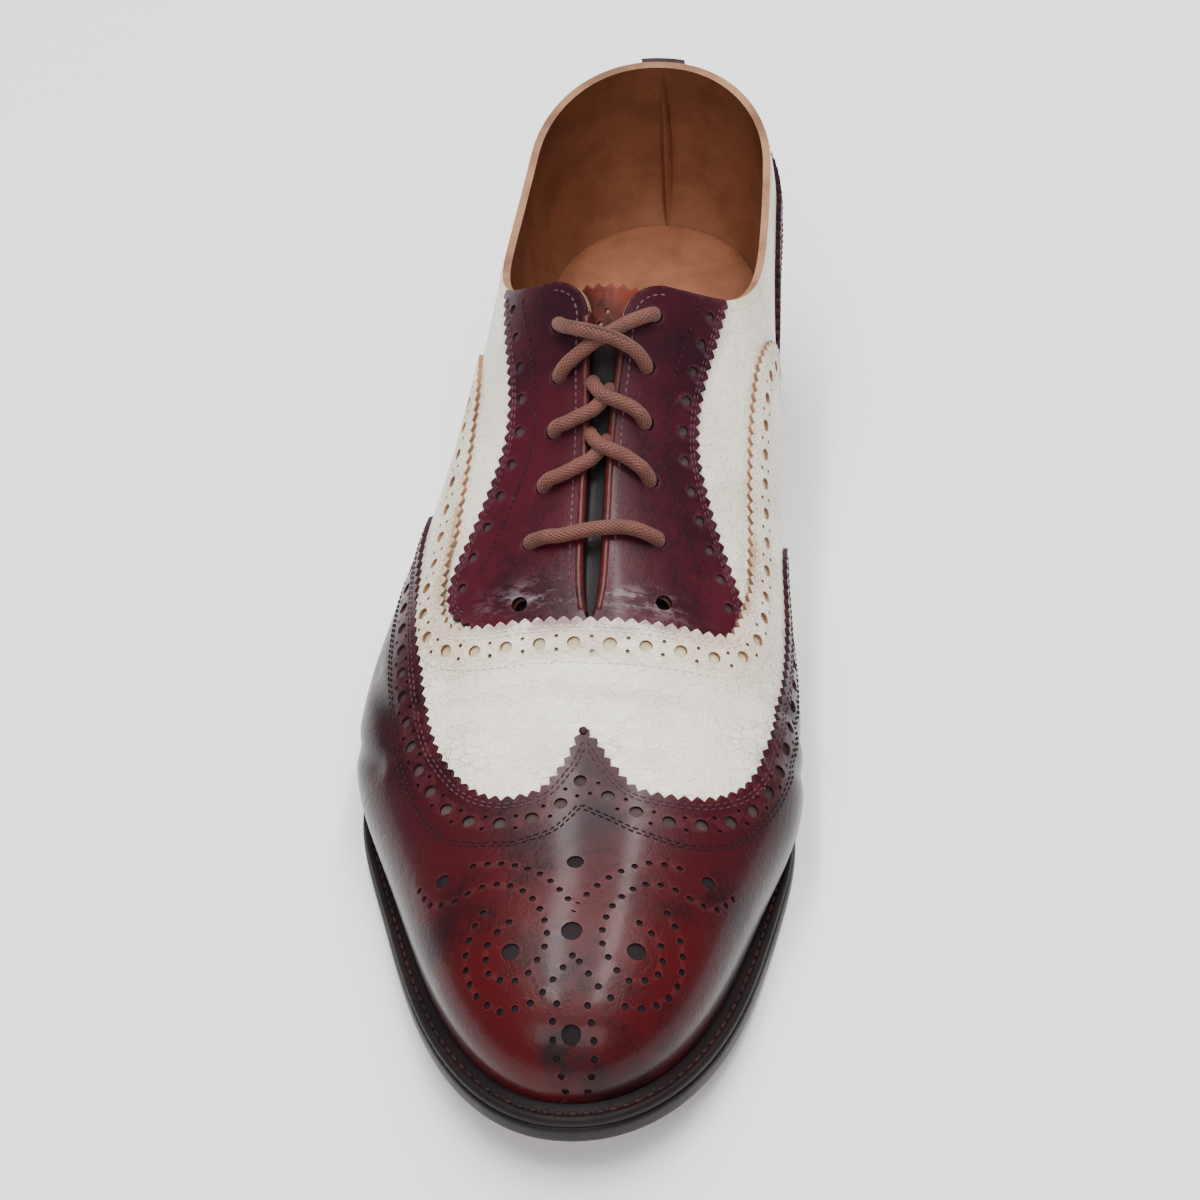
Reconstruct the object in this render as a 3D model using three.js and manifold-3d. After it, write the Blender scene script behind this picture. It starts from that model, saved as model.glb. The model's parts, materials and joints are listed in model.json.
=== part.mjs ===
// Spectator shoe for the right foot: a white and burgundy wing-tip oxford on a leather sole.
// Millimetres, +Z up. The toe points along -Y, the inner side of the foot is +X, the floor is Z = 0.
import * as THREE from 'three';
import { mergeVertices } from 'three/addons/utils/BufferGeometryUtils.js';
import Module from 'manifold-3d';

const wasm = await Module();
wasm.setup();

// Driving dimensions
const LAST_LENGTH = 284;
const LAST_WIDTH = 91;
const INSTEP_RISE = 74;
const HEEL_HEIGHT = 25;
const TOE_SPRING = 12;

// Thicknesses
const GAP = 0.3;
const WALL = 2;
const OVERLAY = 1.2;
const OUTSOLE = 5;
const WELT = 2.4;
const INSOLE_RISE = 2;
const TOP_LIFT = 6;
const TONGUE = 1.5;
const LACE_RADIUS = 1.75;
const EYELET_RADIUS = 1.9;

// Reaches and setbacks
const WELT_REACH = 5;
const WELT_TUCK = 3;
const WELT_SETBACK = 0.5;
const HEEL_SETBACK = 0.8;
const HEEL_TAPER = 0.8;
const INSOLE_CLEARANCE = 0.5;
const LACE_GAP = 5.6;
const BACK_STRAP_WIDTH = 12;
const SEAM_WIDTH = 0.6;
const EYELET_CLEARANCE = 2;

// Lace runs: a strand over another is lifted, and a diving strand ends between the facings
const LACE_SLACK = 0.2;
const LACE_LIFT = 3;
const EDGE_REACH = 1.2;
const DIVE_REACH = 0.4;
const DIVE_SHARE = 0.012;
const STRAND_OFFSET = 0.008;
const LOW_RISE = 0.022;
const MIDDLE_RISE = 0.018;

// Levels and reaches that follow from the thicknesses
const FEATHER_RISE = OUTSOLE + WELT + 2 * GAP;
const OVERLAY_INNER = WALL + GAP;
const OVERLAY_OUTER = OVERLAY_INNER + OVERLAY;
const LACE_HEIGHT = OVERLAY_OUTER + GAP + LACE_RADIUS;

// Places along the shoe as shares of the last's length, 0 at the heel's back and 1 at the toe
const TOE_START = 0.78;
const HEEL_END = 0.12;
const CROWN_START = 0.86;
const HEEL_SEAT = 0.10;
const ARCH_END = 0.58;
const TREAD_END = 0.70;
const HEEL_BREAST = 0.245;
const THROAT = 0.642;
const FACING_TOP = 0.386;
const TONGUE_TOP = 0.374;
const TONGUE_ROOT = 0.664;
const TONGUE_SPREAD = 0.32;
const FACING_SPAN = 0.25;

// Shapes of the round ends
const TOE_ROUNDNESS = 2.1;
const HEEL_ROUNDNESS = 2.1;
const CROWN_ROUNDNESS = 2.2;
const SPRING_CURVE = 1.7;
const SPINE_REACH = 0.2;
const SPINE_START = 0.5;
const BELLY_SHARE = 0.22;

// The cut along the facings' top leaves square to the instep
const RIM_FORWARD = 20;
const RIM_UPWARD = 22;
const CUT_REACH = 300;

// Mesh steps
const STATIONS = 35;
const RIBS = 10;
const SOLE_STATIONS = 44;

// One row per section of the last. Widths, centre, ridge shift and bulges are shares of half LAST_WIDTH,
// rise is a share of INSTEP_RISE, welt of WELT_REACH, and belly, side and crown shape the section.
const COLUMNS = [
  'share', 'lateral', 'medial', 'centre', 'ridge', 'rise', 'belly',
  'bulgeLateral', 'bulgeMedial', 'side', 'crown', 'welt',
];
const SECTIONS = [
  [0.00, 0.620, 0.620, 0.00, 0.00, 1.34, 0.24, 0.10, 0.10, 0.62, 0.50, 0.50],
  [0.12, 0.640, 0.640, 0.00, 0.00, 1.25, 0.24, 0.10, 0.10, 0.62, 0.50, 0.50],
  [0.25, 0.650, 0.590, 0.00, -0.02, 1.16, 0.27, 0.12, 0.18, 0.60, 0.48, 0.46],
  [0.38, 0.680, 0.570, 0.00, -0.02, 1.08, 0.33, 0.15, 0.27, 0.50, 0.38, 0.42],
  [0.50, 0.840, 0.670, 0.00, -0.01, 0.86, 0.34, 0.14, 0.24, 0.44, 0.36, 0.68],
  [0.60, 0.975, 0.835, 0.00, 0.02, 0.68, 0.31, 0.12, 0.17, 0.46, 0.40, 0.98],
  [0.66, 1.020, 0.890, 0.01, 0.045, 0.585, 0.30, 0.11, 0.15, 0.50, 0.46, 1.00],
  [0.72, 1.000, 0.920, 0.02, 0.065, 0.50, 0.30, 0.09, 0.13, 0.54, 0.52, 1.00],
  [0.80, 0.845, 0.840, 0.05, 0.10, 0.40, 0.33, 0.05, 0.06, 0.58, 0.60, 1.00],
  [0.90, 0.715, 0.785, 0.09, 0.14, 0.34, 0.36, 0.02, 0.02, 0.60, 0.62, 1.00],
  [1.00, 0.655, 0.775, 0.14, 0.16, 0.31, 0.36, 0.02, 0.02, 0.60, 0.62, 1.00],
];

// Lines drawn from the side: [share along the shoe, share of INSTEP_RISE above the feather line]
const TOP_LINE = [
  [FACING_TOP, 1.102], [0.372, 1.007], [0.35, 0.896], [0.31, 0.773], [0.26, 0.669], [0.21, 0.613],
  [0.15, 0.612], [0.08, 0.682], [0, 0.75], [-0.08, 0.797],
];
const COUNTER_EDGE = [
  [0.30, -0.05], [0.262, 0.184], [0.215, 0.319], [0.15, 0.403], [0.08, 0.486], [0, 0.554], [-0.08, 0.608],
];
const WING_TAIL = [[0.56, 0.296], [0.52, 0.31], [0.485, 0.283], [0.46, 0.204], [0.445, 0.097], [0.435, -0.05]];

// The wing's pinked edge from above: [share of half LAST_WIDTH, share along the shoe]
const WING_LATERAL = [
  [0.066, 0.728], [0.011, 0.761], [-0.132, 0.784], [-0.32, 0.791], [-0.484, 0.779], [-0.637, 0.75],
  [-0.747, 0.713], [-0.835, 0.667], [-0.912, 0.602], [-0.967, 0.54], [-1.01, 0.49],
];
const WING_MEDIAL = [
  [0.066, 0.728], [0.198, 0.757], [0.396, 0.78], [0.66, 0.772], [0.835, 0.752],
  [0.934, 0.725], [0.989, 0.68], [1.01, 0.6], [1.0, 0.54], [1.033, 0.48],
];

// The facings' outer edge: [share along the shoe, reach from the centre line as a share of half LAST_WIDTH]
const FACING_EDGE = [
  [0.30, 0.593], [0.35, 0.571], [0.39, 0.536], [0.42, 0.503], [0.45, 0.481], [0.48, 0.49], [0.51, 0.549],
  [0.54, 0.626], [0.57, 0.71], [0.59, 0.743], [0.607, 0.725], [0.623, 0.626], [0.634, 0.418], [THROAT, 0],
];

// The opening between the facings: [share along the shoe, width as a share of LACE_GAP]
const SLIT_EDGE = [
  [0.32, 6.4], [0.376, 5], [FACING_TOP, 3.1], [0.40, 2.3], [0.42, 1.8], [0.442, 1.36], [0.464, 1.14],
  [0.50, 1], [0.587, 1], [0.615, 0.82], [0.632, 0.46], [0.638, 0],
];

// Eyelet pairs from the throat to the collar: [share along the shoe, reach as a share of half LAST_WIDTH]
const EYELETS = [
  [0.617, 0.374], [0.566, 0.352], [0.5215, 0.299], [0.481, 0.257], [0.441, 0.237], [0.4015, 0.255],
];

// Natural cubic spline through one column of the section table
function spline(xs, ys) {
  const n = xs.length;
  const steps = xs.slice(1).map((x, i) => x - xs[i]);
  const bends = new Array(n).fill(0);
  const upper = new Array(n).fill(0);
  for (let i = 1; i < n - 1; i += 1) {
    const pull = 6 * ((ys[i + 1] - ys[i]) / steps[i] - (ys[i] - ys[i - 1]) / steps[i - 1]);
    const pivot = 2 * (steps[i - 1] + steps[i]) - steps[i - 1] * upper[i - 1];
    upper[i] = steps[i] / pivot;
    bends[i] = (pull - steps[i - 1] * bends[i - 1]) / pivot;
  }
  for (let i = n - 2; i > 0; i -= 1) bends[i] -= upper[i] * bends[i + 1];
  return (x) => {
    const q = THREE.MathUtils.clamp(x, xs[0], xs[n - 1]);
    let i = 0;
    while (i < n - 2 && q > xs[i + 1]) i += 1;
    const h = steps[i];
    const a = (xs[i + 1] - q) / h;
    const b = (q - xs[i]) / h;
    const sag = ((a ** 3 - a) * bends[i] + (b ** 3 - b) * bends[i + 1]) * (h * h / 6);
    return a * ys[i] + b * ys[i + 1] + sag;
  };
}

const shares = SECTIONS.map((row) => row[0]);
const column = Object.fromEntries(
  COLUMNS.slice(1).map((name, i) => [name, spline(shares, SECTIONS.map((row) => row[i + 1]))]),
);

const { clamp } = THREE.MathUtils;
const half = LAST_WIDTH / 2;
const roundOff = (t, power) => (1 - clamp(t, 0, 1) ** power) ** (1 / power);
const along = (share) => LAST_LENGTH * (0.5 - share);
const mix = (a, b, t) => a + (b - a) * t;

// Walk from the toe tip (0) to the heel's back (1), with short steps round both ends
const toeRun = (1 - TOE_START) * Math.PI / 2;
const heelRun = HEEL_END * Math.PI / 2;
const wholeRun = toeRun + TOE_START - HEEL_END + heelRun;
const toeWalk = toeRun / wholeRun;
const heelWalk = 1 - heelRun / wholeRun;

function shareOf(walk) {
  if (walk < toeWalk) return 1 - (1 - TOE_START) * (1 - Math.cos(Math.PI / 2 * walk / toeWalk));
  if (walk < heelWalk) return mix(TOE_START, HEEL_END, (walk - toeWalk) / (heelWalk - toeWalk));
  return HEEL_END * (1 - Math.sin(Math.PI / 2 * (walk - heelWalk) / (1 - heelWalk)));
}

function walkOf(share) {
  let low = 0;
  let high = 1;
  for (let i = 0; i < 40; i += 1) {
    const middle = (low + high) / 2;
    if (shareOf(middle) > share) low = middle;
    else high = middle;
  }
  return low;
}

// Underside of the outsole: heel seat, arch, flat tread and toe spring
function underside(share) {
  const arch = THREE.MathUtils.smoothstep(ARCH_END - share, 0, ARCH_END - HEEL_SEAT);
  const spring = Math.max((share - TREAD_END) / (1 - TREAD_END), 0) ** SPRING_CURVE;
  return HEEL_HEIGHT * arch + TOE_SPRING * spring;
}

const toeCap = (share) => roundOff((share - TOE_START) / (1 - TOE_START), TOE_ROUNDNESS);
const heelCap = (share) => roundOff((HEEL_END - share) / HEEL_END, HEEL_ROUNDNESS);

// The feather line is where the last meets the sole
function feather(walk, side) {
  const share = shareOf(walk);
  const reach = (side < 0 ? column.lateral : column.medial)(share) * toeCap(share) * heelCap(share);
  const x = half * (column.centre(share) + side * reach);
  return new THREE.Vector3(x, along(share), underside(share) + FEATHER_RISE);
}

function cubic(p, t) {
  const s = 1 - t;
  return s * s * s * p[0] + 3 * s * s * t * p[1] + 3 * s * t * t * p[2] + t * t * t * p[3];
}

// Point of the last: climb is 0 at the feather line and 1 on the ridge
function lastPoint(walk, climb, side) {
  const share = shareOf(walk);
  const foot = feather(walk, side);
  const crown = roundOff((share - CROWN_START) / (1 - CROWN_START), CROWN_ROUNDNESS);
  const top = foot.z + INSTEP_RISE * column.rise(share) * crown;
  const spineShare = share + SPINE_REACH * Math.max(1 - share / SPINE_START, 0) ** 2;
  const spine = new THREE.Vector3(half * column.ridge(share), along(spineShare), 0);
  const ray = new THREE.Vector3(foot.x - spine.x, foot.y - spine.y, 0);
  const reach = ray.length();
  ray.normalize();
  const bulge = half * (side < 0 ? column.bulgeLateral : column.bulgeMedial)(share) * toeCap(share);
  const widest = reach + bulge;
  const waist = mix(foot.z, top, column.belly(share));
  let out;
  let up;
  if (climb < BELLY_SHARE) {
    const t = climb / BELLY_SHARE;
    out = cubic([reach, reach + 0.6 * bulge, widest, widest], t);
    up = cubic([foot.z, mix(foot.z, waist, 0.2), mix(foot.z, waist, 0.55), waist], t);
  } else {
    const t = (climb - BELLY_SHARE) / (1 - BELLY_SHARE);
    out = cubic([widest, widest, column.crown(share) * widest, 0], t);
    up = cubic([waist, mix(waist, top, column.side(share)), top, top], t);
  }
  return new THREE.Vector3(spine.x + ray.x * out, spine.y + ray.y * out, up);
}

// Outward normal of the last, held level at the feather line
function lastNormal(walk, climb, side) {
  const step = 1e-3;
  const w0 = clamp(walk - step, step, 1);
  const w1 = clamp(walk + step, 0, 1);
  const c0 = clamp(climb - step, 0, 1);
  const c1 = clamp(climb + step, 0, 1);
  const run = lastPoint(w1, climb, side).sub(lastPoint(w0, climb, side));
  const rise = lastPoint(walk, c1, side).sub(lastPoint(walk, c0, side));
  const normal = run.cross(rise).multiplyScalar(side);
  if (climb < step) normal.z = 0;
  if (walk <= 0) return new THREE.Vector3(0, -1, 0);
  if (walk >= 1) normal.x = 0;
  return normal.normalize();
}

// Plan outline of the feather line moved outward
function outlinePoint(walk, side, reach) {
  const step = 1e-4;
  const p0 = feather(clamp(walk - step, 0, 1), side);
  const p1 = feather(clamp(walk + step, 0, 1), side);
  const middle = feather(walk, side);
  const out = new THREE.Vector2(p1.y - p0.y, p0.x - p1.x).normalize().multiplyScalar(side);
  if (walk <= 0) out.set(0, -1);
  if (walk >= 1) out.set(0, 1);
  return new THREE.Vector2(middle.x + out.x * reach, middle.y + out.y * reach);
}

// Closed mesh from corner points and triangles, with equal points merged
function closedMesh(points, faces) {
  const geometry = new THREE.BufferGeometry();
  geometry.setAttribute('position', new THREE.Float32BufferAttribute(points.flatMap((p) => p.toArray()), 3));
  geometry.setIndex(faces.flat());
  const merged = mergeVertices(geometry, 1e-4);
  const index = merged.index.array;
  const kept = [];
  for (let i = 0; i < index.length; i += 3) {
    const [a, b, c] = index.subarray(i, i + 3);
    if (a !== b && b !== c && c !== a) kept.push(a, b, c);
  }
  merged.setIndex(kept);
  return merged;
}

function toSolid(source) {
  const bare = source.clone();
  bare.deleteAttribute('normal');
  bare.deleteAttribute('uv');
  const merged = mergeVertices(bare, 1e-4);
  const vertProperties = new Float32Array(merged.attributes.position.array);
  const triVerts = new Uint32Array(merged.index.array);
  return new wasm.Manifold(new wasm.Mesh({ numProp: 3, vertProperties, triVerts }));
}

function toGeometry(solid) {
  const cut = solid.getMesh();
  const geometry = new THREE.BufferGeometry();
  geometry.setAttribute('position', new THREE.BufferAttribute(cut.vertProperties, 3));
  geometry.setIndex(new THREE.BufferAttribute(cut.triVerts, 1));
  return geometry;
}

// Grid over the last between two walks. across runs from -1 (lateral feather) over 0 (ridge) to 1 (medial).
function lastGrid(walks, acrosses) {
  const points = [];
  const normals = [];
  for (const walk of walks) {
    for (const across of acrosses) {
      const side = across < 0 ? -1 : 1;
      points.push(lastPoint(walk, 1 - Math.abs(across), side));
      normals.push(lastNormal(walk, 1 - Math.abs(across), side));
    }
  }
  const faces = [];
  const width = acrosses.length;
  for (let i = 0; i + 1 < walks.length; i += 1) {
    for (let j = 0; j + 1 < width; j += 1) {
      const a = i * width + j;
      faces.push([a, a + 1, a + width + 1], [a, a + width + 1, a + width]);
    }
  }
  return { points, normals, faces };
}

// Solid between two offsets of a grid
function thicken({ points, normals, faces }, inner, outer) {
  const keys = new Map();
  const owner = points.map((p) => {
    const key = p.toArray().map((n) => Math.round(n * 1e3)).join();
    if (!keys.has(key)) keys.set(key, keys.size);
    return keys.get(key);
  });
  const count = keys.size;
  const place = new Array(count);
  const normal = new Array(count);
  owner.forEach((id, i) => {
    place[id] = points[i];
    normal[id] = normal[id] ? normal[id].add(normals[i]) : normals[i].clone();
  });
  normal.forEach((n) => n.normalize());
  const skin = (height) => place.map((p, i) => p.clone().addScaledVector(normal[i], height));
  const used = faces.map((face) => face.map((i) => owner[i]))
    .filter(([a, b, c]) => a !== b && b !== c && c !== a);
  const edges = new Set(used.flatMap(([a, b, c]) => [`${a},${b}`, `${b},${c}`, `${c},${a}`]));
  const shell = [...used, ...used.map(([a, b, c]) => [c + count, b + count, a + count])];
  for (const edge of edges) {
    const [a, b] = edge.split(',').map(Number);
    if (!edges.has(`${b},${a}`)) shell.push([b, a, a + count], [b, a + count, b + count]);
  }
  return closedMesh([...skin(outer), ...skin(inner)], shell);
}

const steps = (count, from, to) => Array.from({ length: count + 1 }, (_, i) => mix(from, to, i / count));
const wholeLast = lastGrid(steps(STATIONS, 0, 1), steps(2 * RIBS, -1, 1));

// Ring of points round the sole, from the toe tip or from a cross line behind it
function ring(walks, reach, height) {
  const whole = walks[0] <= 0;
  const point = (walk, side) => {
    const share = shareOf(walk);
    const flat = outlinePoint(walk, side, typeof reach === 'function' ? reach(share) : reach);
    return new THREE.Vector3(flat.x, flat.y, height(share));
  };
  const lateral = walks.map((walk) => point(walk, -1));
  const medial = walks.slice(whole ? 1 : 0, -1).map((walk) => point(walk, 1)).reverse();
  return { whole, points: [...lateral, ...medial] };
}

function ringWalls(rings, faces, closedLoop) {
  const count = rings[0].points.length;
  const levels = closedLoop ? rings.length : rings.length - 1;
  for (let level = 0; level < levels; level += 1) {
    const low = level * count;
    const high = ((level + 1) % rings.length) * count;
    for (let k = 0; k < count; k += 1) {
      const next = (k + 1) % count;
      faces.push([low + k, high + k, high + next], [low + k, high + next, low + next]);
    }
  }
}

// Solid of stacked rings, closed by rungs between its lateral and medial sides
function ringStack(rings) {
  const count = rings[0].points.length;
  const faces = [];
  ringWalls(rings, faces, false);
  const top = (rings.length - 1) * count;
  const partner = (k) => (rings[0].whole ? (count - k) % count : count - 1 - k);
  for (let k = 0; 2 * k < count - 1; k += 1) {
    const quad = [k, k + 1, partner(k + 1), partner(k)];
    faces.push([quad[0], quad[1], quad[2]], [quad[0], quad[2], quad[3]]);
    faces.push([top + quad[2], top + quad[1], top + quad[0]], [top + quad[3], top + quad[2], top + quad[0]]);
  }
  const distinct = faces.filter(([a, b, c]) => a !== b && b !== c && c !== a);
  return closedMesh(rings.flatMap((r) => r.points), distinct);
}

// Band that runs once round the sole
function ringBand(rings) {
  const faces = [];
  ringWalls(rings, faces, true);
  return closedMesh(rings.flatMap((r) => r.points), faces);
}

// Cutting prisms
function prism(points, depth) {
  return new THREE.ExtrudeGeometry(new THREE.Shape(points), { depth, bevelEnabled: false });
}

function sidePrism(points) {
  const geometry = prism(points, CUT_REACH);
  geometry.translate(0, 0, -CUT_REACH / 2);
  const axes = new THREE.Matrix4().makeBasis(
    new THREE.Vector3(0, 1, 0), new THREE.Vector3(0, 0, 1), new THREE.Vector3(1, 0, 0),
  );
  return toSolid(geometry.applyMatrix4(axes));
}

const planPrism = (points) => toSolid(prism(points, CUT_REACH));
const flatPoint = ([a, b]) => new THREE.Vector2(a, b);
const smooth = (rows, count) => new THREE.SplineCurve(rows.map(flatPoint)).getPoints(count);
const centreX = (share) => half * column.ridge(share);

// Smooth line in the side view through rows of [share, share of the instep's rise]
function sideLine(rows, count) {
  const level = (p) => underside(p.x) + FEATHER_RISE + INSTEP_RISE * p.y;
  return smooth(rows, count).map((p) => new THREE.Vector2(along(p.x), level(p)));
}

// Everything above the collar's top line
function collarSpace() {
  const [front] = sideLine(TOP_LINE, 18);
  const line = sideLine(TOP_LINE.slice(1), 18);
  const rim = new THREE.Vector2(front.x - RIM_FORWARD, front.y + RIM_UPWARD);
  const back = line[line.length - 1];
  const above = [new THREE.Vector2(back.x, CUT_REACH), new THREE.Vector2(rim.x, CUT_REACH)];
  return sidePrism([rim, front, ...line, ...above]);
}

// Outline from above, mirrored about the centre line of the facings
function mirroredPlan(rows, unit, count) {
  const line = smooth(rows, count);
  const side = (sign) => line.map((p) => new THREE.Vector2(centreX(p.x) + sign * unit * p.y, along(p.x)));
  return planPrism([...side(-1), ...side(1).reverse().slice(1)]);
}

// Rectangle seen from above
function planStrip(x, width, nearShare, farShare) {
  const corner = (sign, share) => new THREE.Vector2(x + sign * width / 2, along(share));
  return planPrism([corner(-1, farShare), corner(1, farShare), corner(1, nearShare), corner(-1, nearShare)]);
}

function wingPlan() {
  const flat = (rows) => smooth(rows, 20).map((p) => new THREE.Vector2(half * p.x, along(p.y)));
  const wide = LAST_WIDTH;
  const ahead = along(1) - wide;
  const lateral = flat(WING_LATERAL);
  const medial = flat(WING_MEDIAL).reverse();
  const corners = [
    new THREE.Vector2(-wide, lateral[lateral.length - 1].y),
    new THREE.Vector2(-wide, ahead),
    new THREE.Vector2(wide, ahead),
    new THREE.Vector2(wide, medial[0].y),
  ];
  return planPrism([...lateral, ...corners, ...medial.slice(0, -1)]);
}

function wingTail() {
  const line = sideLine(WING_TAIL, 14);
  const front = along(TOE_START);
  const back = line[line.length - 1].x;
  const corners = [new THREE.Vector2(front, 0), new THREE.Vector2(back, 0)];
  return sidePrism([...corners, ...line.reverse(), new THREE.Vector2(front, line[line.length - 1].y)]);
}

function counterSide() {
  const line = sideLine(COUNTER_EDGE, 16);
  const behind = line[line.length - 1].x;
  return sidePrism([...line, new THREE.Vector2(behind, 0), new THREE.Vector2(line[0].x, 0)]);
}

// Point over the facings: share along the shoe, reach from the centre line, height off the last
function facingPoint(share, reach, height) {
  const side = reach < 0 ? -1 : 1;
  const walk = walkOf(share);
  let low = 0.5;
  let high = 1;
  for (let i = 0; i < 40; i += 1) {
    const climb = (low + high) / 2;
    const across = Math.abs(lastPoint(walk, climb, side).x - centreX(share));
    if (across > Math.abs(reach)) low = climb;
    else high = climb;
  }
  return lastPoint(walk, low, side).addScaledVector(lastNormal(walk, low, side), height);
}

function eyeletPin([share, reach], side) {
  const inner = facingPoint(share, side * half * reach, -EYELET_CLEARANCE);
  const outer = facingPoint(share, side * half * reach, OVERLAY_OUTER + EYELET_CLEARANCE);
  const length = inner.distanceTo(outer);
  const pin = new THREE.CylinderGeometry(EYELET_RADIUS, EYELET_RADIUS, length, 10);
  const turn = new THREE.Quaternion().setFromUnitVectors(
    new THREE.Vector3(0, 1, 0), outer.clone().sub(inner).normalize(),
  );
  pin.applyQuaternion(turn);
  const middle = inner.clone().lerp(outer, 0.5);
  pin.translate(middle.x, middle.y, middle.z);
  return toSolid(pin);
}

const unite = (solids) => solids.reduce((whole, solid) => whole.add(solid));
const eyeletPins = (side) => unite(EYELETS.map((eyelet) => eyeletPin(eyelet, side)));

const collar = collarSpace();
const slit = mirroredPlan(SLIT_EDGE, LACE_GAP / 2, 26);
const facingArea = mirroredPlan(FACING_EDGE, half, 26);
const facingSeam = planStrip(centreX(THROAT), SEAM_WIDTH, THROAT - 0.03, TONGUE_ROOT);
const wing = wingPlan().add(wingTail());
const counterArea = counterSide();
const overlayForm = toSolid(thicken(wholeLast, OVERLAY_INNER, OVERLAY_OUTER));

// Sole
const soleReach = (share) => OVERLAY_OUTER + WELT_REACH * column.welt(share);
const soleTop = (share) => underside(share) + OUTSOLE;
const featherLevel = (share) => underside(share) + FEATHER_RISE;
const soleWalks = steps(SOLE_STATIONS, 0, 1);
const heelWalks = steps(12, walkOf(HEEL_BREAST), 1);

function outsole() {
  return ringStack([ring(soleWalks, soleReach, underside), ring(soleWalks, soleReach, soleTop)]);
}

function welt() {
  const outer = (share) => soleReach(share) - WELT_SETBACK;
  const low = (share) => soleTop(share) + GAP;
  const high = (share) => low(share) + WELT;
  return ringBand([
    ring(soleWalks, outer, low), ring(soleWalks, outer, high),
    ring(soleWalks, -WELT_TUCK, high), ring(soleWalks, -WELT_TUCK, low),
  ]);
}

// Insole with a thicker middle that fills the ring of the welt
function insole() {
  const low = (share) => soleTop(share) + GAP;
  const high = (share) => featherLevel(share) + INSOLE_RISE;
  const middle = -WELT_TUCK - INSOLE_CLEARANCE;
  return ringStack([
    ring(soleWalks, middle, low), ring(soleWalks, middle, featherLevel),
    ring(soleWalks, -INSOLE_CLEARANCE, featherLevel), ring(soleWalks, -INSOLE_CLEARANCE, high),
  ]);
}

const heelReach = (setback) => (share) => soleReach(share) - setback;

function heelStack() {
  const low = () => TOP_LIFT + GAP;
  const high = (share) => underside(share) - GAP;
  return ringStack([
    ring(heelWalks, heelReach(HEEL_SETBACK + HEEL_TAPER), low),
    ring(heelWalks, heelReach(HEEL_SETBACK), high),
  ]);
}

function topLift() {
  return ringStack([
    ring(heelWalks, heelReach(HEEL_SETBACK + HEEL_TAPER + GAP), () => 0),
    ring(heelWalks, heelReach(HEEL_SETBACK + HEEL_TAPER), () => TOP_LIFT),
  ]);
}

// Upper and the pieces stitched on it
function upper() {
  const wall = toSolid(thicken(wholeLast, 0, WALL));
  const cut = wall.subtract(collar).subtract(slit);
  return toGeometry(cut.subtract(eyeletPins(-1)).subtract(eyeletPins(1)));
}

const wingCap = () => toGeometry(overlayForm.intersect(wing));
const counter = () => toGeometry(overlayForm.intersect(counterArea));

function backStrap() {
  const strip = planStrip(0, BACK_STRAP_WIDTH, HEEL_SEAT, -HEEL_SEAT);
  const raised = counterArea.translate([0, 0, GAP]);
  return toGeometry(overlayForm.intersect(strip).subtract(raised).subtract(collar));
}

function facing(side) {
  const acrosses = side < 0 ? steps(RIBS, -1, 0) : steps(RIBS, 0, 1);
  const walks = steps(STATIONS, 0, 1).filter((walk) => Math.abs(shareOf(walk) - 0.5) < FACING_SPAN);
  const form = toSolid(thicken(lastGrid(walks, acrosses), OVERLAY_INNER, OVERLAY_OUTER));
  const cut = form.intersect(facingArea).subtract(slit).subtract(facingSeam).subtract(collar);
  return toGeometry(cut.subtract(eyeletPins(side)));
}

function tongue() {
  const walks = steps(14, walkOf(TONGUE_ROOT), walkOf(TONGUE_TOP));
  return thicken(lastGrid(walks, steps(8, -TONGUE_SPREAD, TONGUE_SPREAD)), -GAP - TONGUE, -GAP);
}

// Laces: each lies on the facings between its eyelets, and joined tubes make a crossing
function laceTube(points) {
  const path = new THREE.CatmullRomCurve3(points);
  const section = new THREE.Shape().absarc(0, 0, LACE_RADIUS, 0, 2 * Math.PI, false);
  const count = Math.round(path.getLength() / (2.4 * LACE_RADIUS));
  return toSolid(new THREE.ExtrudeGeometry(section, { steps: count, curveSegments: 4, extrudePath: path }));
}

function laceRun(from, to, lift) {
  const count = 6;
  return steps(count, 0, 1).map((t) => {
    const bump = lift * Math.sin(Math.PI * t) ** 2;
    return facingPoint(mix(from[0], to[0], t), mix(from[1], to[1], t), LACE_HEIGHT + bump);
  });
}

function laceBar([share, reach]) {
  return toGeometry(laceTube(laceRun([share, -half * reach], [share, half * reach], LACE_SLACK)));
}

// Each strand climbs from its eyelet over the facing's edge, crosses the other and dives into the gap
function laceCrossing([share, reach], rise) {
  const strand = (side, lift, offset) => {
    const target = share - rise - offset;
    const edge = [target + DIVE_SHARE, side * EDGE_REACH];
    const start = laceRun([share, side * half * reach], edge, LACE_SLACK).slice(0, -1);
    const over = facingPoint(...edge, LACE_HEIGHT + lift);
    return laceTube([...start, over, facingPoint(target, -side * DIVE_REACH, OVERLAY_OUTER)]);
  };
  return toGeometry(strand(-1, 0, 0).add(strand(1, LACE_LIFT / 3, STRAND_OFFSET)));
}

function laceTopCrossing() {
  const [low, high] = EYELETS.slice(-2).map(([share, reach]) => [share, half * reach]);
  const left = laceTube(laceRun([high[0], -high[1]], low, LACE_LIFT));
  const right = laceTube(laceRun(high, [low[0], -low[1]], LACE_SLACK));
  return toGeometry(left.add(right));
}

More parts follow.
